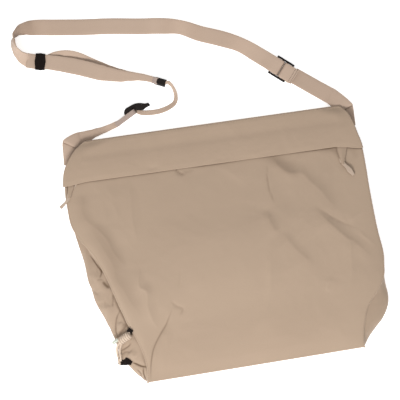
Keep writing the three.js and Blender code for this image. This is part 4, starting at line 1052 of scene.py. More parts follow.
@dataclass
class BagShell:
    """The five cloth panels of the bag, hollow inside.

    Attributes:
        side_depth: Depth of the bag at its fullest seam.
        dome_rise: Rise of the front's middle above its seams.
        cloth: Thickness of the cloth that the shapes are laid out with.
        wall: Thickness of the cloth walls.
        play: Gap between the side cloths and the back.
        roll: Radius of the rolled seams along the front's edges.
        edge_rise: Rise of the front just inside its left seam.
        side_painted_shade: How much darker the side cloths are.
        low_painted_shade: How much darker the front gets near its lower edge.
        mouth_setback: How far below the fold the front's top edge lies.
        back_setback: The same for the back.
        fold_line: Height of the band's fold, as a share of the bag's height.
        band_drop: Depth of the band on the front.
        front_low: Heights of the front's two lower corners, as shares.
        back_low: The same for the back.
        front_steps: Grid steps of the front across, up and round its seams.
        side_points: Grid points of the side cloths across, and up the left and the right one.
        low_points: Grid points of the bottom cloth from left to right and from back to front.
        back_points: Grid points of the back cloth across and up.
    """

    side_depth: float = 27.0
    dome_rise: float = 13.0
    cloth: float = 1.2
    wall: float = 0.9
    play: float = 0.4
    roll: float = 1.8
    edge_rise: float = 3.2
    # side_painted_shade: How much painted shade darkens the side cloths, evenly.
    side_painted_shade: float = 0.1
    # low_painted_shade: How much painted shade darkens the front near its lower edge.
    low_painted_shade: float = 0.1
    mouth_setback: float = 17.0
    back_setback: float = 24.0
    fold_line: float = 0.513
    band_drop: float = 50.5
    front_low: tuple[float, float] = (-0.519, -0.498)
    back_low: tuple[float, float] = (-0.512, -0.491)
    front_steps: tuple[int, int, int] = (236, 190, 7)
    side_points: tuple[int, int, int] = (60, 330, 200)
    low_points: tuple[int, int] = (150, 18)
    back_points: tuple[int, int] = (91, 71)

    def __post_init__(self) -> None:
        """Works out the two top edges and the band's lower edge."""
        self.mouth_line = self.fold_line * HEIGHT - self.mouth_setback
        self.back_line = self.fold_line * HEIGHT - self.back_setback
        self.band_low = self.fold_line * HEIGHT - self.band_drop

    def front(self, u: Array, up: Array, fine: bool = True) -> Array:
        """Points of the front cloth.

        Args:
            u: Shares of the way from the left edge to the right edge.
            up: Shares of the way from the lower edge to the mouth.
            fine: Whether the folds and crumples are added.

        Returns:
            Places in millimetres, of the arguments' shape and 3.
        """
        left, right = FRONT_EDGES.at("left", up), FRONT_EDGES.at("right", up)
        x = WIDTH * lerp(left, right, u)
        y = lerp(HEIGHT * lerp(*self.front_low, u), self.mouth_line, up)
        seam = self.side_depth * lerp(DEPTHS.at("left", up), DEPTHS.at("right", up), u)
        arch = np.sin(math.pi * np.clip(u, 0.0, 1.0)) ** 0.6
        z = seam + self.dome_rise * DEPTHS.at("crown", up) * arch
        if fine:
            away = WIDTH * u
            ridge = smoothstep(0.02, 0.12, up) * smoothstep(0.62, 0.42, up)
            z = z + self.edge_rise * ridge * (np.exp(-away / 42.0) - np.exp(-away / 4.5))
            sides = [8 * u, 8 * (1 - u), 10 * up, 6 * (1 - up), np.ones_like(u)]
            z = z + np.clip(np.minimum.reduce(sides), 0.0, 1.0) * self.folds(x, y)
        return xyz(x, y, z)

    def folds(self, x: Array, y: Array) -> Array:
        """Height of all folds and crumples of the front.

        Args:
            x: First place, in millimetres.
            y: Second place.

        Returns:
            Heights in millimetres.
        """
        relief = sum(fold.relief(x, y) for fold in FOLDS)
        edge = np.maximum(smoothstep(0.0, 0.5, x / WIDTH), smoothstep(-0.1, -0.45, x / WIDTH))
        soft = crumple(x, y, 62.0, 21) * lerp(0.35, 0.75, edge)
        return relief + soft + 0.16 * crumple(x, y, 19.0, 5) * lerp(0.4, 1.0, edge)

    def height_at(self, x: Array, y: Array, fine: bool = True) -> Array:
        """Height of the front cloth.

        Args:
            x: First place, in millimetres.
            y: Second place.
            fine: Whether the folds and crumples are added.

        Returns:
            Heights in millimetres.
        """
        u, up = np.full(np.shape(x), 0.5), np.full(np.shape(x), 0.5)
        for _ in range(6):
            low = HEIGHT * lerp(*self.front_low, u)
            up = np.clip((y - low) / (self.mouth_line - low), 0.0, 1.0)
            left, right = WIDTH * FRONT_EDGES.at("left", up), WIDTH * FRONT_EDGES.at("right", up)
            u = np.clip((x - left) / (right - left), 0.0, 1.0)
        return self.front(u, up, fine)[..., 2]

    def back_edge(self, side: str, up: Array) -> Array:
        """Edge of the back cloth on one side.

        Args:
            side: left or right.
            up: Shares of the way from the lower corner to the top.

        Returns:
            Places in millimetres.
        """
        left = side == "left"
        x = WIDTH * SIDE_EDGES.at(side, up) + 5 * self.cloth * (1 if left else -1)
        return xyz(x, lerp(HEIGHT * self.back_low[0 if left else 1], self.back_line, up), 0.0)

    def gusset(self, side: str, w: Array, up: Array) -> Array:
        """Points of a side cloth.

        Args:
            side: left or right.
            w: Shares of the way from the back seam to the front seam, (W,).
            up: Shares of the way from the lower corner to the mouth, (M,).

        Returns:
            Places of shape (W, M, 3).
        """
        left = side == "left"
        inward = 1.0 if left else -1.0
        seam = self.front(np.full_like(up, 0.0 if left else 1.0), up, fine=False)
        back = self.back_edge(side, up)
        widest = WIDTH * SIDE_EDGES.at(side, up)
        tuck = -inward * WIDTH * TUCKS.at(side, up)
        floor = self.cloth + 1.2 * self.play
        seam_x = seam[:, 0] + inward * 1.2 * self.cloth
        tucked = np.minimum(1.0, np.abs(tuck) / (4 * self.cloth))
        top = seam[:, 2] - 0.6 * self.cloth
        rise = lambda share: lerp(back[:, 1], seam[:, 1], share)
        grid = curve(np.stack([
            xyz(back[:, 0] + inward * self.cloth, back[:, 1], floor),
            xyz(widest + inward * 0.3 * self.cloth, back[:, 1], floor + 0.07 * top),
            xyz(widest + tuck * 0.9, rise(0.3), lerp(0.42, 0.5, tucked) * top),
            xyz(lerp(widest, seam_x, 0.45) + tuck * 0.9, rise(0.6), lerp(0.78, 0.62, tucked) * top),
            xyz(seam_x, seam[:, 1], top),
        ]), w)
        loose = (1 - tucked) * (1.0 if left else 0.5)
        wave = np.sin(math.pi * w)[:, None]
        for row_up, depth, spread in PLEATS:
            push = 2.0 * depth * np.exp(-(((up - row_up) / spread) ** 2)) * loose
            grid[..., 0] += inward * push * wave
            grid[..., 2] -= push * wave**2 * w[:, None]
        y = grid[..., 1]
        girth = np.broadcast_to(w[:, None] * 34.0, y.shape)
        normal = grid_normals(grid) * inward
        pucker = crumple(0.55 * y + 0.9 * girth, girth * 1.25 - 0.4 * y, 15.0, 33 if left else 44)
        depth = (1.5 if left else 0.8) * lerp(0.35, 1.0, loose / max(loose.max(), 1e-6))
        grid += normal * (np.minimum(pucker, 0.25) * depth * wave**0.7)[..., None]
        if left:
            relief = sum(fold.relief(grid[..., 0], grid[..., 1]) for fold in SIDE_FOLDS)
            grid += normal * (relief * wave**0.5)[..., None]
        grid[..., 2] = np.maximum(grid[..., 2], self.cloth + 0.3)
        return grid

    def gusset_shade(self, grid: Array, w: Array, up: Array) -> Array:
        """Painted shade on the left side cloth: along its creases, in the gap beside the front seam, and evenly over
        it.

        Args:
            grid: Its points, of shape (W, M, 3).
            w: Shares of the way from the back seam to the front seam.
            up: Shares of the way from the lower corner to the mouth.

        Returns:
            Values between 0 and 1, of shape (W, M).
        """
        lines = sum(fold.shade(grid[..., 0], grid[..., 1]) for fold in SIDE_FOLDS)
        # Painted shade in the gap beside the front seam, by the share of the way up.
        gap = 1.4 * SIDE_GAPS.at("dark", up)[None] * smoothstep(0.9, 0.96, w)[:, None]
        return np.clip(lines + gap + self.side_painted_shade, 0.0, 1.0)

    def front_shade(self, grid: Array) -> Array:
        """Painted shade on the front: along its fold lines, near its lower edge, and a painted shadow line under the
        band's edge.

        Args:
            grid: Points of shape (R, C, 3).

        Returns:
            Values between 0 and 1, of shape (R, C).
        """
        x, y = grid[..., 0], grid[..., 1]
        lines = sum(fold.shade(x, y) for fold in FOLDS)
        # Painted shadow line just below the band's edge, of uneven width.
        below = np.maximum(self.band_edge(x) - y, 0.0)
        width = 1.3 + 0.7 * lattice_noise(x / 46.0, 0.4 + 0 * x, 91)
        # Painted shade near the front's lower edge, fading out towards the right.
        low = self.low_painted_shade * smoothstep(-0.22, -0.42, y / HEIGHT) * smoothstep(0.45, 0.15, x / WIDTH)
        return np.clip(lines + low + 0.85 * np.exp(-((below / width) ** 2)), 0.0, 1.0)

    def band_edge(self, x: Array) -> Array:
        """Height of the band's lower edge, which droops towards both ends."""
        share = x / WIDTH
        return self.band_low - (5.5 * smoothstep(0.4, 0.5, share) ** 1.3 + 2.5 * smoothstep(-0.4, -0.485, share))

    def bottom(self, u: Array, w: Array) -> Array:
        """Points of the narrow cloth under the bag.

        Args:
            u: Shares of the way from left to right, (U,).
            w: Shares of the way from the back to the front, (W,).

        Returns:
            Places of shape (W, U, 3).
        """
        seam = self.front(u, np.zeros_like(u), fine=False)
        x, front_y = seam[:, 0], seam[:, 1]
        back_y = HEIGHT * lerp(*self.back_low, u)
        floor = self.cloth + 0.3
        top = seam[:, 2] - 0.6 * self.cloth
        grid = curve(np.stack([
            xyz(x, back_y + 2.5 * self.cloth, floor),
            xyz(x, back_y - 0.5 * self.cloth, floor + 0.1 * top),
            xyz(x, front_y + 0.6 * self.cloth, 0.55 * top),
            xyz(x, front_y + 1.3 * self.cloth, top),
        ]), w)
        wave = np.sin(math.pi * w)[:, None]
        girth = np.broadcast_to(40.0 * w[:, None], grid.shape[:2])
        grid[..., 1] += 0.9 * wave * crumple(grid[..., 0], girth, 26.0, 12)
        corner = np.array([0.004, 0.008, 0.012])
        for side, share, end in (("left", u, 0), ("right", 1 - u, -1)):
            miss = self.gusset(side, w, corner)[:, 0] - grid[:, end]
            grid = grid + miss[:, None] * np.exp(-share * WIDTH / 14.0)[None, :, None]
        return grid

    def front_grid(self, rows: int, cols: int, turns: int) -> Array:
        """Front cloth with rolled seams on three sides, its columns closer near the sides.

        Args:
            rows: Steps from left to right.
            cols: Steps from the lower edge to the mouth.
            turns: Steps round each rolled seam.

        Returns:
            Points of shape (rows + 1 + 2 turns, cols + 1 + turns, 3).
        """
        angle = np.linspace(0.0, math.radians(165), turns + 1)[1:]
        across = np.concatenate([-angle[::-1], np.zeros(rows + 1), angle])
        even = np.linspace(0.0, 1.0, rows + 1)
        closer = even - 0.3 / (2 * math.pi) * np.sin(2 * math.pi * even)
        u = np.concatenate([np.zeros(turns), closer, np.ones(turns)])
        down = np.concatenate([angle[::-1], np.zeros(cols + 1)])
        up = np.concatenate([np.zeros(turns), np.linspace(0.0, 1.0, cols + 1)])
        uu, vv = np.meshgrid(u, up, indexing="ij")
        aa, bb = np.meshgrid(across, down, indexing="ij")
        inset_u = lerp(self.roll / WIDTH, 1 - self.roll / WIDTH, uu)
        inset_v = lerp(self.roll / HEIGHT, 1.0, vv)
        grid = self.front(inset_u, inset_v)
        grid[..., 0] += self.roll * np.sin(aa)
        grid[..., 1] -= self.roll * np.sin(bb)
        grid[..., 2] -= self.roll * (2 - np.cos(aa) - np.cos(bb))
        return grid

    def build(self) -> None:
        """Makes the panels and dresses them."""
        front = self.front_grid(*self.front_steps)
        across, left_up, right_up = self.side_points
        w, up = np.linspace(0.0, 1.0, across), np.linspace(0.004, 0.97, left_up)
        left = self.gusset("left", w, up)
        right = self.gusset("right", w, np.linspace(0.004, 0.97, right_up)).transpose(1, 0, 2)
        low = self.bottom(*(np.linspace(0.0, 1.0, count) for count in self.low_points)).transpose(1, 0, 2)
        for name, grid, shade, node in (
            ("front_cloth", front, self.front_shade(front), "front_panel"),
            ("left_side_cloth", left, self.gusset_shade(left, w, up), "gusset_left"),
            # The right side cloth is darkened evenly with painted shade.
            ("right_side_cloth", right, np.full(right.shape[:2], self.side_painted_shade), "gusset_right"),
            ("bottom_cloth", low, None, "bottom_panel"),
            ("back_cloth", self.back_grid(), None, "rear_panel"),
        ):
            place(cloth_wall(name, grid, self.wall, shade), CLOTH, "cloth", node)

    def back_grid(self) -> Array:
        """Back cloth that the bag lies on, with softly rounded edges.

        Returns:
            Points of shape (R, C, 3).
        """
        u, up = np.meshgrid(*(np.linspace(0.0, 1.0, count) for count in self.back_points), indexing="ij")
        left, right = self.back_edge("left", up[0]), self.back_edge("right", up[0])
        grid = lerp(left[None], right[None], u[..., None])
        edge = np.minimum.reduce([u * WIDTH, (1 - u) * WIDTH, up * HEIGHT, (1 - up) * HEIGHT])
        ripple = 0.25 * (crumple(grid[..., 0], grid[..., 1], 55.0, 61) + 1.0)
        grid[..., 2] = 0.7 * np.exp(-edge / 3.0) + ripple * smoothstep(0.0, 25.0, edge)
        grid[..., 2] -= grid[..., 2].min()
        return grid[:, ::-1]


def rolled(
    grid: Array, radius: float, axis: int, ends: Sequence[bool], turns: int = 6, degrees: float = 165.0
) -> Array:
    """Rolls the edges of a grid inward.

    Args:
        grid: Points of shape (R, C, 3).
        radius: Radius of the roll.
        axis: 0 for the first and last rows, 1 for the first and last columns.
        ends: Whether the first and the last edge are rolled.
        turns: Steps round the roll.
        degrees: How far round the roll goes.

    Returns:
        The longer grid.
    """
    work = grid if axis == 0 else grid.transpose(1, 0, 2)
    normals = grid_normals(grid)
    normals = normals if axis == 0 else normals.transpose(1, 0, 2)
    angle = np.linspace(0.0, math.radians(degrees), turns + 1)[1:, None, None]
    parts = [work]
    for first, wanted in zip((True, False), ends):
        if not wanted:
            continue
        edge, near = (work[0], work[2]) if first else (work[-1], work[-3])
        normal = normals[0] if first else normals[-1]
        out = unit(edge - near)
        ring = edge + radius * np.sin(angle) * out - radius * (1 - np.cos(angle)) * normal
        parts = [ring[::-1], *parts] if first else [*parts, ring]
    done = np.concatenate(parts)
    return done if axis == 0 else done.transpose(1, 0, 2)


@dataclass
class Flap:
    """The fold-over band along the top edge.

    Attributes:
        shell: The bag that it lies on.
        rest: Gap between its lower edge and the front.
        play: How far it bows up in the middle.
        mouth_height: Height of the folded top edge.
        cloth: Thickness of its cloth, with a little room.
        wall: Thickness of its cloth wall.
        tone: How much painted shade darkens it, evenly.
        roll: Radius of its rolled lower edge.
        grid_points: Grid points across and from its lower edge to its back one.
        tacks: Small dents, as X, Y and depth.
    """

    shell: BagShell
    rest: float = 1.5
    play: float = 2.0
    mouth_height: float = 9.0
    cloth: float = 1.2
    wall: float = 1.0
    tone: float = 0.05
    roll: float = 0.6
    grid_points: tuple[int, int] = (230, 110)
    tacks: tuple[tuple[float, float, float], ...] = ((-72.0, 108.0, 0.7), (12.0, 106.0, 0.35), (73.0, 105.5, 0.4))

    def strap_lift(self, u: Array) -> Array:
        """Lift of the band's back near both ends, where the strap ends are sewn in under it."""
        near = np.maximum(smoothstep(0.9, 0.94, u), 1 - smoothstep(0.045, 0.085, u))
        return near * 1.7

    def points(self, u: Array, s: Array) -> Array:
        """Points of the band.

        Args:
            u: Shares of the way from left to right, (U,).
            s: Shares of the way from its lower edge, over the fold, down the back, (S,).

        Returns:
            Places of shape (U, S, 3).
        """
        fold_y = self.shell.fold_line * HEIGHT
        reach = lambda share: WIDTH * lerp(FLAP_EDGES.at("left", share), FLAP_EDGES.at("right", share), u)
        low = self.shell.band_edge(reach(0.0))

        def over(share: float) -> Array:
            """A row that rests on the front, at a share of the way up to the fold."""
            x, y = reach(share), lerp(low, fold_y, share)
            front = self.shell.height_at(x, np.minimum(y, self.shell.mouth_line), fine=False)
            return xyz(x, y, front + self.cloth + self.rest + self.play * math.sin(math.pi * share))

        lift = self.strap_lift(u)
        behind = 1 - (self.shell.back_setback - 0.4) / self.shell.band_drop
        ends = np.maximum(smoothstep(0.9, 1.0, u), smoothstep(0.12, 0.0, u))
        high = np.maximum(self.mouth_height * (1 - 0.35 * ends), lift + 1.2)
        crest = lerp(self.mouth_height + 3.1, high + 4.2, 0.8 * ends)
        rows = [over(share) for share in (0.0, 0.16, 0.32, 0.48, 0.62)]
        rows += [xyz(reach(share), lerp(low, fold_y, up), z) for share, up, z in (
            (0.8, 0.82, crest), (0.92, 0.935, high + 2.9 - 0.4 * ends), (0.985, 0.99, high + 2.0 - 0.5 * ends),
            (1.0, 1.0, np.maximum(high * 0.5, lift + 0.7)), (0.95, 0.955, lift + 0.4), (0.86, 0.86, lift),
            (0.72, 0.72, lift), (behind, behind, lift))]
        grid = curve(np.stack(rows), s).transpose(1, 0, 2)
        grid[..., 2] = np.maximum(grid[..., 2], lift[:, None])
        top = smoothstep(0.0, 0.06, s) * smoothstep(0.62, 0.5, s)
        x, y = grid[..., 0], grid[..., 1]
        waves = 0.4 * crumple(1.5 * x, 0.8 * y, 80.0, 71) + 0.12 * crumple(x, y, 18.0, 73)
        for cx, cy, depth in self.tacks:
            away = np.hypot((x - cx) / 1.6, y - cy)
            waves = waves - depth * np.exp(-((away / 4.5) ** 2))
        grid[..., 2] += waves * top[None]
        return grid

    def build(self) -> None:
        """Makes the band and dresses it."""
        grid = self.points(*(np.linspace(0.0, 1.0, count) for count in self.grid_points))
        grid = rolled(grid, self.roll, 1, (True, False), 5)
        # The band is darkened evenly with painted shade.
        made = cloth_wall("flap_cloth", grid, self.wall, np.full(grid.shape[:2], self.tone))
        place(made, CLOTH, "cloth", "flap")


@dataclass(frozen=True)
class Pull:
    """A ribbon pull of the zip and the cloth tab round it.

    Attributes:
        outside: Places below the band's edge, as shares, with the lift off the cloth.
        widths: Widths at even steps of the ribbon.
        thicks: Thicknesses at the same steps.
        tab_top: Middle of the tab's upper end, in millimetres.
        tab_tip: Middle of its lower end.
        tab_half: Half widths at the two ends.
        tab_edge_shadow: Strength of the painted shadow along its edges.
    """

    outside: tuple[tuple[float, float, float], ...]
    widths: tuple[float, ...]
    thicks: tuple[float, ...]
    tab_top: tuple[float, float]
    tab_tip: tuple[float, float]
    tab_half: tuple[float, float]
    tab_edge_shadow: float


PULLS = {
    "left": Pull(((-0.466, 0.318, 0.4), (-0.483, 0.278, 1.0), (-0.509, 0.25, 0.8)),
                 (4.0, 4.0, 4.6, 4.8, 5.0, 3.2, 4.8), (0.9, 0.9, 0.9, 1.0, 1.8, 1.2, 0.9),
                 (-176.5, 101.0), (-181.0, 86.0), (4.8, 2.6), 1.0),
    "right": Pull(((0.43, 0.28, 0.4), (0.446, 0.249, 0.9), (0.461, 0.217, 0.7)),
                  (4.0, 4.0, 3.6, 3.2, 5.6, 3.8, 6.4, 3.0), (0.9, 0.9, 0.9, 1.0, 2.4, 1.4, 2.0, 0.9),
                  (165.2, 103.5), (163.8, 80.5), (7.4, 2.8), 0.5),
}


@dataclass
class Zip:
    """The zip under the band, with its sliders and ribbon pulls.

    Attributes:
        shell: The bag that it lies on.
        width: Width of the tape.
        above: How far above the band's lower edge the tape's middle line lies.
        ends: Left and right end, as shares of the bag's width.
        wall: Thickness of the tape.
        lift: Height of its upper face above the front cloth.
        tooth_pitch: Spacing of the coil's turns.
        tooth_size: Size of each turn along, across and up.
        slider_inset: How far the sliders lie from the tape's ends.
    """

    shell: BagShell
    width: float = 14.0
    above: float = 16.0
    ends: tuple[float, float] = (-0.43, 0.44)
    wall: float = 0.6
    lift: float = 1.0
    tooth_pitch: float = 1.5
    tooth_size: tuple[float, float, float] = (0.9, 4.4, 0.9)
    slider_inset: float = 4.5

    def __post_init__(self) -> None:
        """Works out the height of the tape's middle line and the sliders' places."""
        self.line = self.shell.band_low + self.above
        left, right = WIDTH * self.ends[0], WIDTH * self.ends[1]
        self.sliders = {"left": left + self.slider_inset, "right": right - self.slider_inset}

    def on_front(self, x: Array, y: Array, lift: float) -> Array:
        """Places on the front cloth, lifted off it."""
        x, y = np.asarray(x, float), np.asarray(y, float)
        return xyz(x, y, self.shell.height_at(x, y) + lift)

    def tape(self) -> None:
        """Tape with a row of coil turns along its middle."""
        u, w = np.meshgrid(np.linspace(0.0, 1.0, 150), np.linspace(-0.5, 0.5, 9), indexing="ij")
        grid = self.on_front(WIDTH * lerp(*self.ends, u), self.line + w * self.width, self.lift)
        place(cloth_wall("zip_tape_cloth", grid, self.wall), TAPE, "tape", "zip_tape")
        along = np.linspace(WIDTH * self.ends[0] + 4, WIDTH * self.ends[1] - 4, 200)
        path = self.on_front(along, np.full_like(along, self.line), self.lift + 0.25)
        teeth = Repeat(self.tooth_pitch, self.tooth_size, box=True)
        place(repeated("zip_coil", [path], teeth, COIL), None, "slider")

    def pull(self, side: str) -> None:
        """Ribbon pull that comes out under the band's edge and lies on the front.

        Args:
            side: left or right.
        """
        pull, slider = PULLS[side], self.sliders[side]
        hidden = lerp(slider, WIDTH * pull.outside[0][0], 0.6)
        rows = [(slider, self.line - 3.4, 2.0), (slider, self.line - 0.62 * self.width, 1.5),
                (hidden, self.shell.band_low, 0.8)]
        rows += [(WIDTH * a, HEIGHT * b, 0.9 + lift) for a, b, lift in pull.outside]
        points = np.array([self.on_front(x, y, lift) for x, y, lift in rows])
        points[2:4, 2] -= 0.5
        line = resampled(points, 1.0)
        along = lambda values: np.interp(np.linspace(0, 1, len(line)), np.linspace(0, 1, len(values)), values)
        strip = Strip(line, beside(line), along(pull.widths), along(pull.thicks))
        place(strip_mesh(f"{side}_pull_ribbon", strip, 0.7), PULL, "tape", f"zip_pull_{side}")

    def tab(self, side: str) -> None:
        """Cloth gusset round a pull that narrows from the band's edge to the ribbon.

        Args:
            side: left or right.
        """
        pull = PULLS[side]
        share, across = np.linspace(0.0, 1.0, 26), np.linspace(-1.0, 1.0, 15)
        wide = lerp(*pull.tab_half, smoothstep(0.0, 1.0, share))
        centre = lerp(np.array(pull.tab_top)[None], np.array(pull.tab_tip)[None], share[:, None])
        x = centre[:, :1] + wide[:, None] * across[None]
        grid = self.on_front(x, np.broadcast_to(centre[:, 1:], x.shape), 0.0)
        grid[..., 2] += 1.1 + 1.9 * (1 - across[None] ** 2) * (0.5 + 0.5 * share)[:, None]
        # Painted shadow along the tab's edges, even painted shade over it, and more under the band's edge.
        edge = pull.tab_edge_shadow * (smoothstep(0.55, 1.0, -across) + 0.4 * smoothstep(0.7, 1.0, across))[None]
        shade = edge * np.ones_like(x) + 0.08 + 0.25 * smoothstep(0.25, 0.0, share)[:, None]
        place(cloth_wall(f"{side}_pull_tab", grid, 0.8, shade), CLOTH, "tape")

    def build(self) -> None:
        """Makes the tape, the sliders and the pulls."""
        self.tape()
        for side in ("left", "right"):
            node = f"zip_slider_{side}"
            place(softened(node, f"slider_body_{side}", 0.25), COIL, "slider", node)
        for side in ("left", "right"):
            self.pull(side)
        for side in ("right", "left"):
            self.tab(side)


@dataclass(frozen=True)
class Repeat:
    """A small shape set out along a path.

    Attributes:
        pitch: Spacing along the path, in millimetres.
        size: Length along the path, width and height of each, in millimetres.
        box: Whether it is a block instead of a rounded stitch.
    """

    pitch: float
    size: tuple[float, float, float]
    box: bool = False


def repeat_tree(box: bool) -> bpy.types.NodeTree:
    """Geometry tree that sets a small shape out along the edges of a mesh.

    Args:
        box: Whether the shape is a block instead of a rounded stitch.

    Returns:
        The tree, with inputs Pitch, Size and Finish.
    """
    name = "Blocks along a path" if box else "Stitches along a path"
    if name in bpy.data.node_groups:
        return bpy.data.node_groups[name]
    tree = bpy.data.node_groups.new(name, "GeometryNodeTree")
    for label, kind in (("Geometry", "Geometry"), ("Pitch", "Float"), ("Size", "Vector"), ("Finish", "Material")):
        tree.interface.new_socket(name=label, in_out="INPUT", socket_type="NodeSocket" + kind)
    tree.interface.new_socket(name="Geometry", in_out="OUTPUT", socket_type="NodeSocketGeometry")
    w = Wires(tree)
    come, go = w.add("NodeGroupInput"), w.add("NodeGroupOutput")
    path = w.add("GeometryNodeMeshToCurve", None, Mesh=come.outputs["Geometry"])
    even = w.add("GeometryNodeResampleCurve", None, Curve=path.outputs[0])
    if hasattr(even, "mode"):
        even.mode = "LENGTH"
    tree.links.new(come.outputs["Pitch"], even.inputs["Length"])
    if box:
        shape = w.add("GeometryNodeMeshCube", None, Size=(1.0, 1.0, 1.0))
    else:
        shape = w.add("GeometryNodeMeshUVSphere", None, Segments=8, Rings=5, Radius=0.5)
    sized = w.add("GeometryNodeTransform", None, Geometry=shape.outputs[0], Scale=come.outputs["Size"])
    tangent = w.add("GeometryNodeInputTangent")
    turned_to = w.add("FunctionNodeAlignRotationToVector", {"axis": "X"}, Vector=tangent.outputs[0])
    many = w.add("GeometryNodeInstanceOnPoints", None, Points=even.outputs[0], Instance=sized.outputs[0],
                 Rotation=turned_to.outputs[0])
    real = w.add("GeometryNodeRealizeInstances", None, Geometry=many.outputs[0])
    smooth = w.add("GeometryNodeSetShadeSmooth", None, Geometry=real.outputs[0])
    smooth.inputs["Shade Smooth"].default_value = not box
    dressed = w.add("GeometryNodeSetMaterial", None, Geometry=smooth.outputs[0], Material=come.outputs["Finish"])
    tree.links.new(dressed.outputs[0], go.inputs[0])
    return tree


def repeated(name: str, paths: Iterable[Array], repeat: Repeat, finish: Textile | Moulded) -> bpy.types.Object:
    """Sets a small shape out along paths and gives the plain mesh.

    Args:
        name: Name of the new object.
        paths: Each path's points in millimetres.
        repeat: Spacing and size of the shape.
        finish: Its finish.

    Returns:
        The linked object, with its material on it.
    """
    points, edges = [], []
    for path in paths:
        first = len(points)
        points += (np.asarray(path) * MM).tolist()
        edges += [(first + k, first + k + 1) for k in range(len(path) - 1)]
    lines = bpy.data.meshes.new(name + "_path")
    lines.from_pydata(points, edges, [])
    carrier = link(name + "_path", lines)
    tree = repeat_tree(repeat.box)
    modifier = carrier.modifiers.new("repeat", "NODES")
    modifier.node_group = tree
    sockets = {item.name: item.identifier for item in tree.interface.items_tree if item.in_out == "INPUT"}
    modifier[sockets["Pitch"]] = repeat.pitch * MM
    modifier[sockets["Size"]] = [side * MM for side in repeat.size]
    modifier[sockets["Finish"]] = material_of(finish)
    bpy.context.view_layer.update()
    graph = bpy.context.evaluated_depsgraph_get()
    mesh = bpy.data.meshes.new_from_object(carrier.evaluated_get(graph))
    carrier.modifiers.remove(modifier)
    bpy.data.objects.remove(carrier)
    mesh.name = name
    if not mesh.materials:
        mesh.materials.append(material_of(finish))
    return link(name, mesh)


def softened(node: str, name: str, width: float) -> bpy.types.Object:
    """Copy of a rigid solid with its edges rounded.

    Args:
        node: The solid's name.
        name: Name of the copy.
        width: Width of the rounding, in millimetres.

    Returns:
        The linked copy.
    """
    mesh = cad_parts[node].data.copy()
    mesh.name = name
    work = bmesh.new()
    work.from_mesh(mesh)
    bmesh.ops.remove_doubles(work, verts=work.verts, dist=0.00001)
    bmesh.ops.dissolve_limit(work, angle_limit=math.radians(2.0), verts=work.verts, edges=work.edges)
    work.to_mesh(mesh)
    work.free()
    mesh.polygons.foreach_set("use_smooth", [True] * len(mesh.polygons))
    made = link(name, mesh)
    bevel = made.modifiers.new("round", "BEVEL")
    bevel.width = width * MM
    bevel.segments = 3
    bevel.limit_method = "ANGLE"
    bevel.angle_limit = math.radians(38.0)
    bevel.harden_normals = True
    graph = bpy.context.evaluated_depsgraph_get()
    done = bpy.data.meshes.new_from_object(made.evaluated_get(graph))
    made.modifiers.remove(bevel)
    made.data = done
    return made


@dataclass(frozen=True)
class Route:
    """A strip's route over the floor.

    Attributes:
        rows: X and Y as shares of the bag, then roll in degrees, width and thickness as shares of
            the strip's own, and a share of the height that it is lifted by, one column a lift.
        lifts: Names of the lift columns.
    """

    rows: tuple[tuple[float, ...], ...]
    lifts: tuple[str, ...] = ()

    def table(self) -> Table:
        """The columns that are eased along the route."""
        return Table(("x", "y", "roll", "width", "thick", *self.lifts), self.rows)

    def places(self, t: Array) -> Array:
        """Places over the floor at shares of the way, (N, 3), with no height."""
        return curve(np.array([spot_at(*row[:2]) for row in self.rows]), t)

    def laid(self, count: int, width: float, thick: float, **heights: float) -> Strip:
        """Stations of a strip along the route.

        Args:
            count: Steps along it.
            width: Full width of the strip.
            thick: Full thickness.
            **heights: Height in millimetres for each lift column.

        Returns:
            The strip, its side to the right of its run.
        """
        t = np.linspace(0.0, 1.0, count + 1)
        table = self.table()
        step = 1e-4
        heading = unit(self.places(np.minimum(t + step, 1.0)) - self.places(np.maximum(t - step, 0.0)))
        roll = np.radians(table.eased("roll", t))[:, None]
        wide, deep = width * table.eased("width", t), thick * table.eased("thick", t)
        side = unit(np.cross(heading, UP)) * np.cos(roll) + UP * np.sin(roll)
        spot = self.places(t)
        spot[:, 2] = 0.5 * wide * np.abs(np.sin(roll[:, 0])) + 0.5 * deep * np.abs(np.cos(roll[:, 0]))
        for name, height in heights.items():
            spot[:, 2] += height * table.eased(name, t)
        return Strip(spot, side, wide, deep)

    def heading(self, t: float) -> Array:
        """Direction of the run at a share of the way."""
        ends = self.places(np.array([max(t - 1e-4, 0.0), min(t + 1e-4, 1.0)]))
        return unit(ends[1] - ends[0])


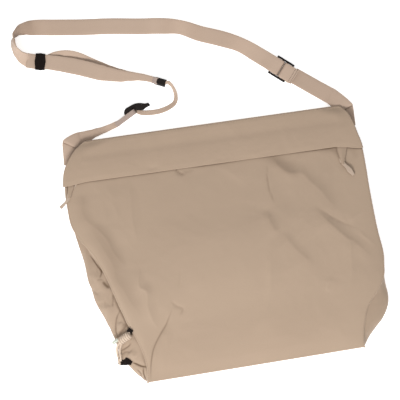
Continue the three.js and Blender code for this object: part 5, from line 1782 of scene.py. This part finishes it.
MAIN_ROUTE = Route((
    (0.25, 0.7225, 0, 1, 1, 1, 0), (0.211, 0.7633, 8, 1, 1, 0, 0), (0.151, 0.821, 26, 1, 1, 0, 0),
    (0.089, 0.859, 12, 1, 1, 0, 0), (0.026, 0.89, 16, 1, 1, 0, 0), (-0.037, 0.928, 30, 1, 1, 0, 0),
    (-0.101, 0.945, 8, 1, 1, 0, 0), (-0.166, 0.955, 0, 1, 1, 0, 0), (-0.264, 0.973, 0, 1, 1, 0, 0),
    (-0.362, 0.986, 0, 1, 1, 0, 0), (-0.447, 1, 4, 1, 1, 0, 0), (-0.513, 1.0107, 18, 1, 1, 0, 0),
    (-0.55, 1.01, 46, 1, 1, 0, 0), (-0.575, 0.9953, 74, 1, 1.7, 0, 0), (-0.5865, 0.968, 103, 1, 1.8, 0, 0),
    (-0.586, 0.9383, 110, 1, 1.2, 0, 0), (-0.5763, 0.9117, 122, 1, 1, 0, 0), (-0.5592, 0.8883, 138, 1, 1, 0, 0),
    (-0.5316, 0.8723, 174, 0.92, 1, 0, 1), (-0.5084, 0.8667, 180, 0.9, 1, 0, 1), (-0.4853, 0.861, 180, 0.92, 1, 0, 1),
    (-0.45, 0.868, 166, 1, 1, 0, 0), (-0.416, 0.867, 158, 1, 1, 0, 0), (-0.384, 0.851, 162, 1, 1, 0, 0),
    (-0.353, 0.826, 170, 1, 1, 0, 0), (-0.321, 0.803, 176, 0.96, 1, 0, 0), (-0.287, 0.782, 180, 0.87, 1.1, 0, 0),
    (-0.255, 0.7667, 180, 0.76, 1.2, 0, 0), (-0.2224, 0.755, 180, 0.6, 1.35, 0, 0),
    (-0.1895, 0.7455, 180, 0.46, 1.5, 0, 0),
    (-0.1612, 0.7335, 180, 0.4, 1.6, 0, 0), (-0.1415, 0.7223, 180, 0.38, 1.6, 0, 0)), ("bar", "keeper"))
TAIL_ROUTE = Route((
    (-0.1415, 0.7223, 0, 0.38, 1.6, 1), (-0.1612, 0.7335, 0, 0.4, 1.6, 0.9), (-0.1895, 0.7455, 0, 0.46, 1.5, 0.75),
    (-0.2224, 0.754, 0, 0.6, 1.35, 0.52), (-0.255, 0.762, 0, 0.76, 1.2, 0.44), (-0.287, 0.774, 0, 0.87, 1.1, 0.44),
    (-0.318, 0.787, 0, 0.98, 1, 0.75), (-0.35, 0.8035, -2, 1, 1, 1), (-0.3816, 0.8195, -4, 1, 1, 1.05),
    (-0.413, 0.8335, -4, 1, 1, 1.05), (-0.4447, 0.8465, -2, 0.96, 1, 0.9), (-0.4853, 0.861, 0, 0.92, 1, 0.72),
    (-0.5084, 0.8667, 0, 0.9, 1, 0.72), (-0.5316, 0.8723, 0, 0.92, 1, 0.72), (-0.551, 0.88, 0, 0.92, 1, 0.9)),
    ("rise",))
RIGHT_ROUTE = Route((
    (0.308, 0.6667, 0, 1, 1, 0), (0.331, 0.645, 0, 1, 1, 0.1), (0.361, 0.6155, 0, 1, 1, 0.5),
    (0.391, 0.5865, 0, 1, 1, 0.9), (0.4235, 0.5565, 0, 1, 1, 1)), ("rise",))
LEFT_ROUTE = Route((
    (-0.281, 0.5673, 0, 0.36, 1.6, 1), (-0.303, 0.5585, 0, 0.38, 1.5, 0.95), (-0.333, 0.5485, 0, 0.42, 1.35, 0.3),
    (-0.362, 0.541, 0, 0.52, 1.2, 0.3), (-0.39, 0.532, 0, 0.7, 1.1, 0.3),
    (-0.416, 0.5265, 0, 0.8, 1, 0.3)), ("rise",))
NARROW_ROUTE = Route((
    (-0.1, 0.7083, -20, 0.7, 1, 1), (-0.0885, 0.6873, -50, 0.75, 1, 0.3), (-0.0818, 0.654, -46, 0.9, 1, 0),
    (-0.087, 0.6223, -38, 1, 1, 0), (-0.1055, 0.6057, -24, 1, 1, 0), (-0.14, 0.5937, -8, 1, 1, 0),
    (-0.1734, 0.5927, 0, 1, 1, 0), (-0.2, 0.597, 0, 0.95, 1, 0), (-0.2166, 0.6073, 0, 0.8, 1, 0),
    (-0.2255, 0.6195, 0, 0.7, 1, 0)), ("rise",))


def turned(bar: Array, heading: Array, under: float, over: float, radius: float, width: float, thick: float,
           dark: float = 0.0) -> Strip:
    """Stations of a strip that turns back round a bar.

    Args:
        bar: Centre of the bar.
        heading: Level direction in which the strip comes in.
        under: Length of the run that comes in under the bar.
        over: Length of the run that goes back over it.
        radius: Radius of the turn at the middle of the strip.
        width: Width of the strip.
        thick: Its thickness.
        dark: Painted shade at the outside of the turn.

    Returns:
        The strip.
    """
    angle = np.linspace(-math.pi / 2, math.pi / 2, 13)
    along = np.concatenate([[-under], radius * np.cos(angle), [-over]])
    rise = np.concatenate([[-radius], radius * np.sin(angle), [radius]])
    spot = bar + along[:, None] * heading + rise[:, None] * UP
    side = np.broadcast_to(unit(np.cross(heading, UP)), spot.shape)
    ones = np.ones(len(spot))
    # Painted shade, strongest at the outside of the turn.
    deep = dark * np.concatenate([[0.0], np.exp(-((angle / 1.0) ** 4)), [0.0]])
    return Strip(spot, side.copy(), width * ones, thick * ones, deep)


@dataclass
class ShoulderStrap:
    """Webbing, tapes and hardware between the two upper corners of the bag.

    Attributes:
        shell: The bag that it is sewn to.
        web_width: Width of the webbing.
        web_thick: Its thickness.
        tape_width: Width of the narrow tapes.
        tape_thick: Their thickness.
        gap: Play between a strip and what it passes round.
        bar_size: Thickness of the hardware's bars.
        triglide_length: Length of the triglide.
        keeper_length: Length of the keeper.
        keeper_wall: Thickness of its wall.
        fitting_length: Length of the end fitting.
        fitting_thick: Its thickness.
        hook_length: Length of the hook.
        hook_thick: Its thickness.
        hook_spot: Its place as shares of the bag, and its turn in degrees.
        hem_turn: Length of the right anchor's folded end.
        corner_rise: Lift of the right anchor's corner, which lies over the band.
        end_inset: How far above the back cloth's edge the sewn ends begin.
        folded: Thickness of the gathered webbing, as a share of its own.
    """

    shell: BagShell
    web_width: float = 20.0
    web_thick: float = 1.3
    tape_width: float = 6.5
    tape_thick: float = 1.0
    gap: float = 0.4
    bar_size: float = 2.4
    triglide_length: float = 24.0
    keeper_length: float = 12.5
    keeper_wall: float = 1.2
    fitting_length: float = 15.0
    fitting_thick: float = 2.6
    hook_length: float = 34.5
    hook_thick: float = 3.0
    hook_spot: tuple[float, float, float] = (-0.2145, 0.6167, 15.5)
    hem_turn: float = 20.0
    corner_rise: float = 2.2
    end_inset: float = 0.8
    folded: float = 1.6

    def __post_init__(self) -> None:
        """Works out where the triglide and the end fitting lie."""
        first, last = MAIN_ROUTE.places(np.array([0.0, 1.0]))
        half_folded = self.web_thick * self.folded / 2
        self.strap_end = self.shell.back_line + self.end_inset
        self.web_turn = self.bar_size / 2 + self.gap + self.web_thick / 2
        self.slide_heading = -MAIN_ROUTE.heading(0.0)
        high = self.web_thick / 2 + self.web_turn
        self.slide_centre = first + self.slide_heading * self.triglide_length / 2 + UP * high
        self.bar_offset = high + 0.05 * self.gap
        self.fitting_half = math.hypot(self.bar_size, self.fitting_thick) / 2
        self.fitting_turn = self.fitting_half + 0.8 * self.gap + half_folded
        self.end_heading = MAIN_ROUTE.heading(1.0)
        self.fitting_bar = last + self.end_heading * self.bar_size + UP * (half_folded + self.fitting_turn)

    def main(self) -> Strip:
        """The long webbing, from its turn at the triglide to its tail.

        Returns:
            Its stations.
        """
        web = (self.web_width, self.web_thick)
        reach = self.triglide_length / 2 - self.bar_offset
        bar = self.slide_centre - self.slide_heading * self.bar_offset
        start = turned(bar, self.slide_heading, reach + 4, reach - 4, self.web_turn, *web, 0.7)
        route = MAIN_ROUTE.laid(260, *web, bar=2 * self.web_turn, keeper=self.keeper_wall + self.gap)
        tail = TAIL_ROUTE.laid(130, *web, rise=2 * self.fitting_turn)
        turn = turned(self.fitting_bar, self.end_heading, 0.5, 0.5, self.fitting_turn, 0.44 * self.web_width,
                      self.folded * self.web_thick)
        # Painted shade on the webbing: across its twists on the right, and on its upper run near the left turn.
        x = route.place[:, 0] / WIDTH
        shadow = lambda dark, centre, half: dark * np.exp(-(((x - centre) / half) ** 2))
        top = smoothstep(0.93, 0.98, route.place[:, 1] / HEIGHT)
        turn_shade = 0.3 * smoothstep(-0.47, -0.55, x) + 0.1 * smoothstep(-0.25, -0.45, x)
        twist_shade = shadow(0.17, 0.0, 0.06) + shadow(0.16, 0.13, 0.07) + shadow(0.1, -0.07, 0.03)
        route.shade = np.where(x > -0.12, twist_shade, top * turn_shade)
        return start.then(route, flip=True).then(turn).then(tail, flip=True, skip=1)

    def cornered(self, run: Strip, corner: tuple[float, float], end_x: float, rise: float = 0.0) -> Strip:
        """Adds a mitred corner and a straight end to a run.

        Args:
            run: The run.
            corner: Place of the corner, as shares of the bag.
            end_x: Place of the end, as a share of the bag's width.
            rise: Lift of the corner, in millimetres.

        Returns:
            The longer run.
        """
        corner_at = spot_at(*corner)
        end = np.array([end_x * WIDTH, self.strap_end - 4.0, 0.0])
        level = np.array([1.0, 1.0, 0.0])
        inbound, outbound = unit((corner_at - run.place[-1]) * level), unit((end - corner_at) * level)
        right = unit(np.cross(inbound, UP) + np.cross(outbound, UP))
        sign = -1.0 if np.dot(right, run.side[-1]) < 0 else 1.0
        right, onward = sign * right, sign * unit(np.cross(outbound, UP))
        stretch = 0.5 + 0.5 / math.cos(math.acos(float(np.clip(inbound @ outbound, -1, 1))) / 2)
        steps = corner_at + np.array([-0.6, 0.5, 1.7])[:, None] * outbound
        spots = np.concatenate([steps, lerp(corner_at, end, np.array([0.25, 0.5, 0.75, 1.0])[:, None])])
        spots[:, 2] = self.web_thick * np.array([2.2, 0.5, 0.5, 0.5, 0.5, 0.5, 0.5])
        spots[:, 2] += rise * np.array([1.0, 1.0, 1.0, 0.9, 0.6, 0.2, 0.0])
        side = np.array([right, right, unit(right + 0.3 * onward), *[onward] * 4])
        width = np.array([stretch] * 3 + [1.0] * 4) * self.web_width
        # Painted shade along the mitre's crease.
        crease_shade = np.array([0.05, 0.8, 0.05, 0.0, 0.0, 0.0, 0.0])
        run.place[-1, 2] += 0.6 * self.web_thick
        return run.then(Strip(spots, side, width, np.full(len(spots), self.web_thick), crease_shade))

    def right_anchor(self) -> Strip:
        """Webbing from the sewn end over the triglide to the right upper corner.

        Returns:
            Its stations.
        """
        web = (self.web_width, self.web_thick)
        bar = self.slide_centre + self.slide_heading * self.bar_offset
        turn = turned(bar, -self.slide_heading, self.triglide_length / 2 + 3, self.hem_turn - self.bar_offset,
                      self.web_turn, *web, 0.7).reversed()
        route = RIGHT_ROUTE.laid(26, *web, rise=self.corner_rise).flipped()
        # Even painted shade along the anchor.
        route.shade = np.full(len(route.place), 0.1)
        return self.cornered(turn.then(route, skip=1), (0.4655, 0.4965), 0.4655, self.corner_rise)

    def left_anchor(self) -> Strip:
        """Webbing from the loop tape to the left upper corner.

        Returns:
            Its stations.
        """
        route = LEFT_ROUTE.laid(40, self.web_width, self.web_thick, rise=self.tape_thick + self.gap)
        # Painted shade on the anchor's part nearest the corner.
        route.shade = 0.17 * smoothstep(-0.31, -0.35, route.place[:, 0] / WIDTH)
        return self.cornered(route, (-0.4485, 0.505), -0.4525)

    def loop_tape(self) -> Strip:
        """Tape loop that the hook catches.

        Returns:
            Its stations.
        """
        turn = self.hook_thick / 2 + self.gap + self.tape_thick / 2 + 0.6 * self.gap
        x, y, degrees = self.hook_spot
        angle = math.radians(degrees)
        along = np.array([math.cos(angle), math.sin(angle), 0.0])
        hook = spot_at(x, y, self.tape_thick / 2 + turn)
        bar = hook - 0.173 * self.hook_length * along - 0.07 * self.hook_length * np.cross(UP, along)
        collar = spot_at(*LEFT_ROUTE.rows[0][:2], bar[2])
        reach = float(np.linalg.norm(bar - collar)) + 4
        return turned(bar, unit(bar - collar), reach, reach, turn, self.tape_width, self.tape_thick)

    def narrow_tape(self) -> Strip:
        """Tape between the end fitting and the hook.

        Returns:
            Its stations.
        """
        turn = self.fitting_half + self.gap + self.tape_thick / 2
        bar = self.fitting_bar + self.end_heading * 0.4 * self.fitting_length
        start = turned(bar, -self.end_heading, 3.5, 3.2, turn, self.tape_width, self.tape_thick)
        rise = bar[2] + turn - self.tape_thick / 2
        return start.then(NARROW_ROUTE.laid(90, self.tape_width, self.tape_thick, rise=rise), flip=True, skip=1)

    def fitting(self) -> bpy.types.Object:
        """Rounded block of the end fitting, round the turn of the webbing.

        Returns:
            The linked object.
        """
        along, across = self.end_heading, np.cross(UP, self.end_heading)
        half_length, half_width, low, wall = 7.0, 4.9, 0.8, 0.7
        centre = self.fitting_bar + along * 4.4
        top = centre[2] + self.fitting_turn + 1.7
        u, v = np.meshgrid(np.linspace(-1.0, 1.0, 33), np.linspace(-1.0, 1.0, 33), indexing="ij")
        round_off = (1 - np.abs(u) ** 6) * (1 - np.abs(v) ** 6)
        grid = centre + (half_length * u)[..., None] * along + (half_width * v)[..., None] * across
        grid[..., 2] = low + (top - low) * np.maximum(round_off, 0.0) ** 0.25
        return cloth_wall("end_fitting_block", grid, wall)

    def collar(self) -> Strip:
        """Grey tape round the webbing's end, next to the fitting.

        Returns:
            Its stations.
        """
        centre = self.fitting_bar - self.end_heading * 2.6
        spots = centre + np.array([-3.4, 0.0, 3.4])[:, None] * self.end_heading
        side = np.broadcast_to(unit(np.cross(self.end_heading, UP)), spots.shape).copy()
        return Strip(spots, side, np.array([8.6, 8.4, 8.2]), np.full(3, 2 * self.fitting_turn + 3.2))

    def hook_eye(self) -> bpy.types.Object:
        """Thin disc of black plastic that fills the eye of the hook, between the loop and the rim.

        Returns:
            The linked object.
        """
        x, y, z = -84.8, 186.6, 3.6
        u, v = np.meshgrid(np.linspace(0.0, 1.0, 9), np.linspace(0.0, 2 * math.pi, 33), indexing="ij")
        grid = xyz(x + 3.6 * u * np.cos(v), y + 3.2 * u * np.sin(v), z - 0.5 * u**2)
        return cloth_wall("hook_eye_web", grid, 0.8)

    def keeper(self) -> bpy.types.Object:
        """Woven sleeve round both layers, a little fuller at its middle.

        Returns:
            The linked object.
        """
        spot = spot_at(*TAIL_ROUTE.rows[12][:2])
        heading = unit(spot_at(*MAIN_ROUTE.rows[20][:2]) - spot_at(*MAIN_ROUTE.rows[18][:2]))
        right = np.cross(UP, heading)
        wall, steps, sides = self.keeper_wall, 15, 48
        height = 2 * self.fitting_turn * 0.72 + self.web_thick + self.gap + wall
        half = 0.45 * self.web_width + 0.75 * self.gap + 0.8 * wall
        angle = np.linspace(0.0, 2 * math.pi, sides, endpoint=False)
        blunt = lambda value: np.sign(value) * np.abs(value) ** 0.32
        ring = np.stack([half * blunt(np.cos(angle)), height / 2 * (1 + blunt(np.sin(angle)))], axis=1)
        core = np.array([0.0, height / 2])
        inner = core + (ring - core) * np.array([(half - wall) / half, 1 - 2 * wall / height])
        rings = []
        for t in np.linspace(-0.5, 0.5, steps):
            full = 1 + 0.025 * math.cos(math.pi * t) + 0.03 * math.exp(-((t / 0.16) ** 2))
            rings.append((t, core + (ring - core) * np.array([full, 1.0])))
        rings += [(t, inner) for t in np.linspace(0.5, -0.5, steps)]
        fuller = lambda across: 0.95 + 0.16 * max(0.0, 1 - abs(across) / (0.7 * half))
        points = [spot + heading * t * self.keeper_length * fuller(p[0]) + right * p[0] + UP * p[1]
                  for t, loop in rings for p in loop]
        total = len(points)
        faces = []
        for a in range(total):
            b = a + 1 if (a + 1) % sides else a + 1 - sides
            faces.append((a, (a + sides) % total, (b + sides) % total, b))
        round_it = np.linspace(0.0, 2 * (half + height), sides)
        uv = [(w, t * self.keeper_length) for t, _ in rings for w in round_it]
        made = mesh_object("keeper_sleeve", np.array(points), faces, np.array(uv))
        make_normals_outward(made)
        return made

    def build(self) -> None:
        """Makes every strip and dresses the hardware."""
        for node, strip, finish, slot in (
            ("strap_main", self.main(), WEBBING, "webbing"),
            ("strap_right_anchor", self.right_anchor(), WEBBING, "webbing"),
            ("strap_left_anchor", self.left_anchor(), WEBBING, "webbing"),
            ("narrow_tape", self.narrow_tape(), WEBBING, "webbing"),
            ("loop_tape", self.loop_tape(), TAPE, "tape"),
        ):
            place(strip_mesh(node + "_woven", strip), finish, slot, node)
        place(self.keeper(), BLACK_WEB, "black_webbing", "keeper")
        place(self.fitting(), PLASTIC, "black_plastic", "end_fitting")
        place(self.hook_eye(), PLASTIC, "black_plastic")
        place(strip_mesh("webbing_collar", self.collar(), 0.6), TAPE, "tape")
        for node, width in (("triglide", 0.5), ("hook", 0.8)):
            place(softened(node, node + "_moulded", width), PLASTIC, "black_plastic", node)

@dataclass
class LashCord:
    """Elastic cord between two black loops on the left side, with its wound knot and clear tip.

    Attributes:
        shell: The bag that it hangs on.
        cord: Diameter of the cord.
        knot: Diameter of the knot.
        knot_length: Length of the knot.
        wraps: Number of windings.
        tip: Diameter of the clear tip.
        band: Thickness of the loops' webbing.
        gap: Play between the upper loop and the cord.
        upper_width: Width of the upper loop.
    """

    shell: BagShell
    cord: float = 3.4
    knot: float = 9.4
    knot_length: float = 19.0
    wraps: int = 6
    tip: float = 4.0
    band: float = 1.0
    gap: float = 0.4
    upper_width: float = 6.6

    def __post_init__(self) -> None:
        """Keeps the left side cloth to measure heights from."""
        self.side = self.shell.gusset("left", np.linspace(0.0, 1.0, 40), np.linspace(0.004, 0.6, 160))

    def on_side(self, x: float, y: float, lift: float) -> Array:
        """A place above the left side cloth.

        Args:
            x: Place as a share of the bag's width.
            y: Place as a share of its height.
            lift: Height above the cloth, in millimetres.

        Returns:
            The place.
        """
        spot = spot_at(x, y)
        away = np.hypot(self.side[..., 0] - spot[0], self.side[..., 1] - spot[1])
        high = float(self.side[..., 2][away < away.min() + 1.6].max())
        return spot + UP * (high + lift)

    def windings(self, start: Array, axis: Array) -> bpy.types.Object:
        """Barrel of cord wound round the strands, with a groove between the turns and painted shade in it.

        Args:
            start: Middle of its first end.
            axis: Direction to the other end.

        Returns:
            The linked object.
        """
        first = unit(np.cross(axis, UP))
        second = np.cross(axis, first)
        t, angle = np.meshgrid(np.linspace(0.0, 1.0, 141), np.linspace(0.0, 2 * math.pi, 49), indexing="ij")
        crest = np.abs(np.cos(math.pi * (self.wraps * t + angle / (2 * math.pi)))) ** 0.6
        taper = np.clip(1 - np.abs(2 * t - 1) ** 9, 0.0, 1.0) ** 0.5
        reach = self.knot / 2 * taper * lerp(0.8, 1.0, crest)
        ring = np.cos(angle)[..., None] * first + np.sin(angle)[..., None] * second
        grid = start + axis * (self.knot_length * t)[..., None] + reach[..., None] * ring
        # Painted shade in the grooves between the turns.
        return cloth_wall("lash_knot_windings", grid, 0.3, np.clip(1.5 - 2.0 * crest, 0.0, 1.0))

    def lower_loop(self) -> Strip:
        """Black webbing that holds the cord's lower end, narrower towards the seam.

        Returns:
            Its stations.
        """
        rows = ((-0.3897, -0.4123, 3.4), (-0.3784, -0.4152, 7.6), (-0.3626, -0.4205, 10.0), (-0.352, -0.427, 9.6),
                (-0.3475, -0.431, 8.0))
        high = [max(z, self.on_side(x, y, 1.3)[2]) if x > -0.37 else z for x, y, z in rows]
        line = np.array([spot_at(x, y, z) for (x, y, _), z in zip(rows, high)])
        return Strip(line, beside(line), np.array([10.5, 12.0, 9.6, 6.0, 4.6]), np.full(len(rows), 1.4 * self.band))

    def clear_tip(self, high: float) -> bpy.types.Object:
        """Clear tip on the cord's end, next to the knot.

        Args:
            high: Height of its upper end.

        Returns:
            The linked object.
        """
        start, end = np.array([-144.6, -97.2, high]), np.array([-152.2, -101.4, high - 2.4])
        path = resampled(np.array([start, lerp(start, end, 0.5) + UP * 0.3, end]), 0.4)
        share = np.linspace(0.0, 1.0, len(path))
        blunt = np.sqrt(np.clip(1 - (2 * np.clip(share - 0.5, 0, 1)) ** 6, 0.05, 1))
        return tube_mesh("cord_tip_clear", path, 0.55 * self.tip * blunt * lerp(0.92, 1.05, share), 20)

    def build(self) -> None:
        """Makes the loops, the cord with its knot and the tip."""
        upper = self.on_side(-0.338, -0.296, 2.6)
        knot = self.on_side(-0.338, -0.308, 0.45 * self.knot)
        knot_end = self.on_side(-0.379, -0.336, 0.55 * self.knot)
        lower = spot_at(-0.3875, -0.415, 7.5)
        axis = unit(knot_end - knot)
        inside = lambda share: knot + axis * share * self.knot_length
        main = np.array([
            upper + (2.0, 4.5, -1.0),
            upper,
            inside(0.2),
            inside(0.7),
            inside(1.0) - self.cord * np.array([0.7, 1.3, 0.4]),
            spot_at(-0.3895, -0.385, 8.5),
            lower + (0.0, 4.0, 0.3),
            lower + (0.0, -1.0, 0.0),
            lower + (0.6, -4.6, -0.3),
        ])
        back = np.array([
            inside(0.7) - UP * 1.5,
            self.on_side(-0.3765, -0.357, 1.6),
            self.on_side(-0.3805, -0.378, 1.6),
            self.on_side(-0.3805, -0.397, 1.8),
            lower + (2.0, 0.0, 2.6),
        ])
        cord = tube_mesh("lash_cord_braid", resampled(main, 0.5), self.cord / 2, 16)
        wound = self.windings(knot, axis)
        second = tube_mesh("lash_cord_return", resampled(back, 0.5), 0.44 * self.cord, 16)
        for made in (cord, wound, second):
            place(made, CORD, "elastic_cord", "lash_cord")
        place(self.clear_tip(knot_end[2] + 1.0), CLEAR, "clear_tip", "cord_tip")
        radius = self.cord / 2 + 0.6 * self.gap + self.band / 2
        away = unit(np.array([-0.75, -0.6, -0.25]))
        loop = turned(upper - UP * 0.6, away, 5.0, 3.0, radius, self.upper_width, self.band)
        ring = resampled(np.array([(-147.4, -121.0, 9.4), (-146.2, -121.4, 9.8), (-145.2, -121.8, 9.6)]), 0.3)
        place(tube_mesh("lash_cord_whipping", ring, 0.7, 10), DARK_THREAD, "elastic_cord")
        for name, strip in (("lash_loop_upper", loop), ("lash_loop_lower", self.lower_loop())):
            place(strip_mesh(name + "_woven", strip, 0.4), BLACK_WEB, "black_webbing", name)


@dataclass
class Stitching:
    """Rows of stitches on the side seams and the right strap end.

    Attributes:
        shell: The bag.
        strap: Its strap.
        stitch: The seams' stitches.
        bar_tack: The strap end's stitches.
    """

    shell: BagShell
    strap: ShoulderStrap
    stitch: Repeat = Repeat(3.0, (2.2, 0.4, 0.2))
    bar_tack: Repeat = Repeat(1.9, (1.2, 0.8, 0.4))

    def seam(self, share: float) -> Array:
        """Row along a side seam of the front, given by its share of the way across."""
        up = np.linspace(0.02, 0.95, 200)
        return self.shell.front(np.full_like(up, share), up) + UP * 0.12

    def across_strip(self, strip: Strip, at: float, rows: int, spacing: float, inset: float = 1.0) -> list[Array]:
        """Rows across the upper face of a strip.

        Args:
            strip: The strip.
            at: Length along its run to the first row, in millimetres.
            rows: Number of rows.
            spacing: Their spacing.
            inset: Distance from their ends to the strip's edges.

        Returns:
            Each row's points.
        """
        fine = strip.finer(0.5)
        run = walked(fine.place)
        share = np.linspace(-1.0, 1.0, 12)[:, None]
        paths = []
        for row in range(rows):
            k = int(np.argmin(np.abs(run - at - row * spacing)))
            tangent = unit(fine.place[min(k + 1, len(run) - 1)] - fine.place[max(k - 1, 0)])
            normal = unit(np.cross(tangent, fine.side[k]))
            normal = normal if normal[2] > 0 else -normal
            half = fine.width[k] / 2 - inset
            paths.append(fine.place[k] + normal * (fine.thick[k] / 2 + 0.08) + share * half * fine.side[k])
        return paths

    def build(self) -> None:
        """Makes all rows."""
        seams = [self.seam(0.004), self.seam(0.996)]
        place(repeated("seam_stitches", seams, self.stitch, THREAD), None, "cloth")
        tacks = self.across_strip(self.strap.right_anchor(), 1.6, 2, 3.0)
        place(repeated("anchor_stitches", tacks, self.bar_tack, DARK_THREAD), None, "webbing")


@dataclass
class Studio:
    """Pale floor, soft lights and the camera.

    Attributes:
        aim: Place under the middle of the picture, in metres.
        height: Height of the camera.
        turn: How far the picture is turned, in degrees.
        frame_width: Width of the floor that the picture spans.
        near: Height above the floor at which that width holds.
        sky: Strength of the sky.
        key: Power of the main light.
        fill: Power of the light from the other side.
        glow: Strength of the floor's own light.
        pool: Power of the pool of light on the front.
    """

    aim: tuple[float, float] = (-0.0192, 0.0608)
    height: float = 5.0
    turn: float = -8.0
    frame_width: float = 0.5
    near: float = 0.01
    sky: float = 0.68
    key: float = 52.0
    fill: float = 3.0
    glow: float = 0.55
    pool: float = 20.0

    def floor(self) -> None:
        """Wide white floor."""
        half, white = 10.0, (1.0, 1.0, 1.0, 1.0)
        mesh = bpy.data.meshes.new("floor")
        corners = [(-half, -half, 0.0), (half, -half, 0.0), (half, half, 0.0), (-half, half, 0.0)]
        mesh.from_pydata(corners, [], [range(4)])
        made = link("floor", mesh)
        finish, w, skin = blank_material("White floor")
        grain = w.noise(w.add("ShaderNodeTexCoord").outputs["Object"], 40.0)
        w.join(skin, Base_Color=w.tint(grain, (0.94, 0.94, 0.94), (0.96, 0.96, 0.96)), Roughness=0.9,
               Specular_IOR_Level=0.0, Emission_Color=white, Emission_Strength=self.glow)
        mesh.materials.append(finish)

    def light(self, name: str, kind: str, spot: Sequence[float], aim: Sequence[float], **settings: object) -> None:
        """Puts in a light that looks at a place.

        Args:
            name: Name of the light.
            kind: Its type.
            spot: Where it hangs, in metres.
            aim: Where it looks.
            **settings: Its properties.
        """
        data = bpy.data.lights.new(name, kind)
        for key, value in settings.items():
            setattr(data, key, value)
        made = link(name, data)
        made.location = spot
        made.rotation_euler = (Vector(aim) - Vector(spot)).to_track_quat("-Z", "Y").to_euler()

    def lights(self) -> None:
        """Two wide lamps and a soft pool of light on the front."""
        bag = (0.0, 0.06, 0.0)
        self.light("key", "AREA", (-0.75, -1.45, 1.6), bag, energy=self.key, shape="DISK", size=0.9)
        self.light("fill", "AREA", (1.4, 1.2, 2.2), bag, energy=self.fill, shape="DISK", size=2.0)
        self.light("pool", "SPOT", (-0.25, -0.75, 1.9), (0.0, -0.035, 0.0), energy=self.pool,
                   spot_size=math.radians(13.0), spot_blend=1.0, shadow_soft_size=0.15)

    def world(self) -> None:
        """Even pale sky."""
        sky = bpy.data.worlds.new("Pale sky")
        sky.use_nodes = True
        background = sky.node_tree.nodes["Background"]
        Wires(sky.node_tree).join(background, Color=(1.0, 1.0, 1.0, 1.0), Strength=self.sky)
        bpy.context.scene.world = sky

    def camera(self) -> None:
        """Camera straight above the bag."""
        data = bpy.data.cameras.new("camera")
        data.sensor_width = 36.0
        data.lens = data.sensor_width * (self.height - self.near) / self.frame_width
        data.clip_start, data.clip_end = 0.1, 100.0
        data.dof.use_dof = False
        made = link("camera", data)
        made.location = (*self.aim, self.height)
        made.rotation_euler = (0.0, 0.0, math.radians(self.turn))
        bpy.context.scene.camera = made

    def build(self) -> None:
        """Sets the stage."""
        self.floor()
        self.lights()
        self.world()
        self.camera()
        bpy.context.scene.view_settings.view_transform = "Standard"


def keep_sizes() -> None:
    """Brings the view layer up to date.
    """
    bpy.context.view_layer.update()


def main() -> None:
    """Builds the bag, its straps and the stage, in order."""
    logging.basicConfig(level=logging.INFO, format="%(name)s: %(message)s")
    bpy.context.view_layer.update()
    shell = BagShell()
    shell.build()
    Flap(shell).build()
    Zip(shell).build()
    strap = ShoulderStrap(shell)
    strap.build()
    LashCord(shell).build()
    Stitching(shell, strap).build()
    Studio().build()
    keep_sizes()


if __name__ == "__main__":
    main()
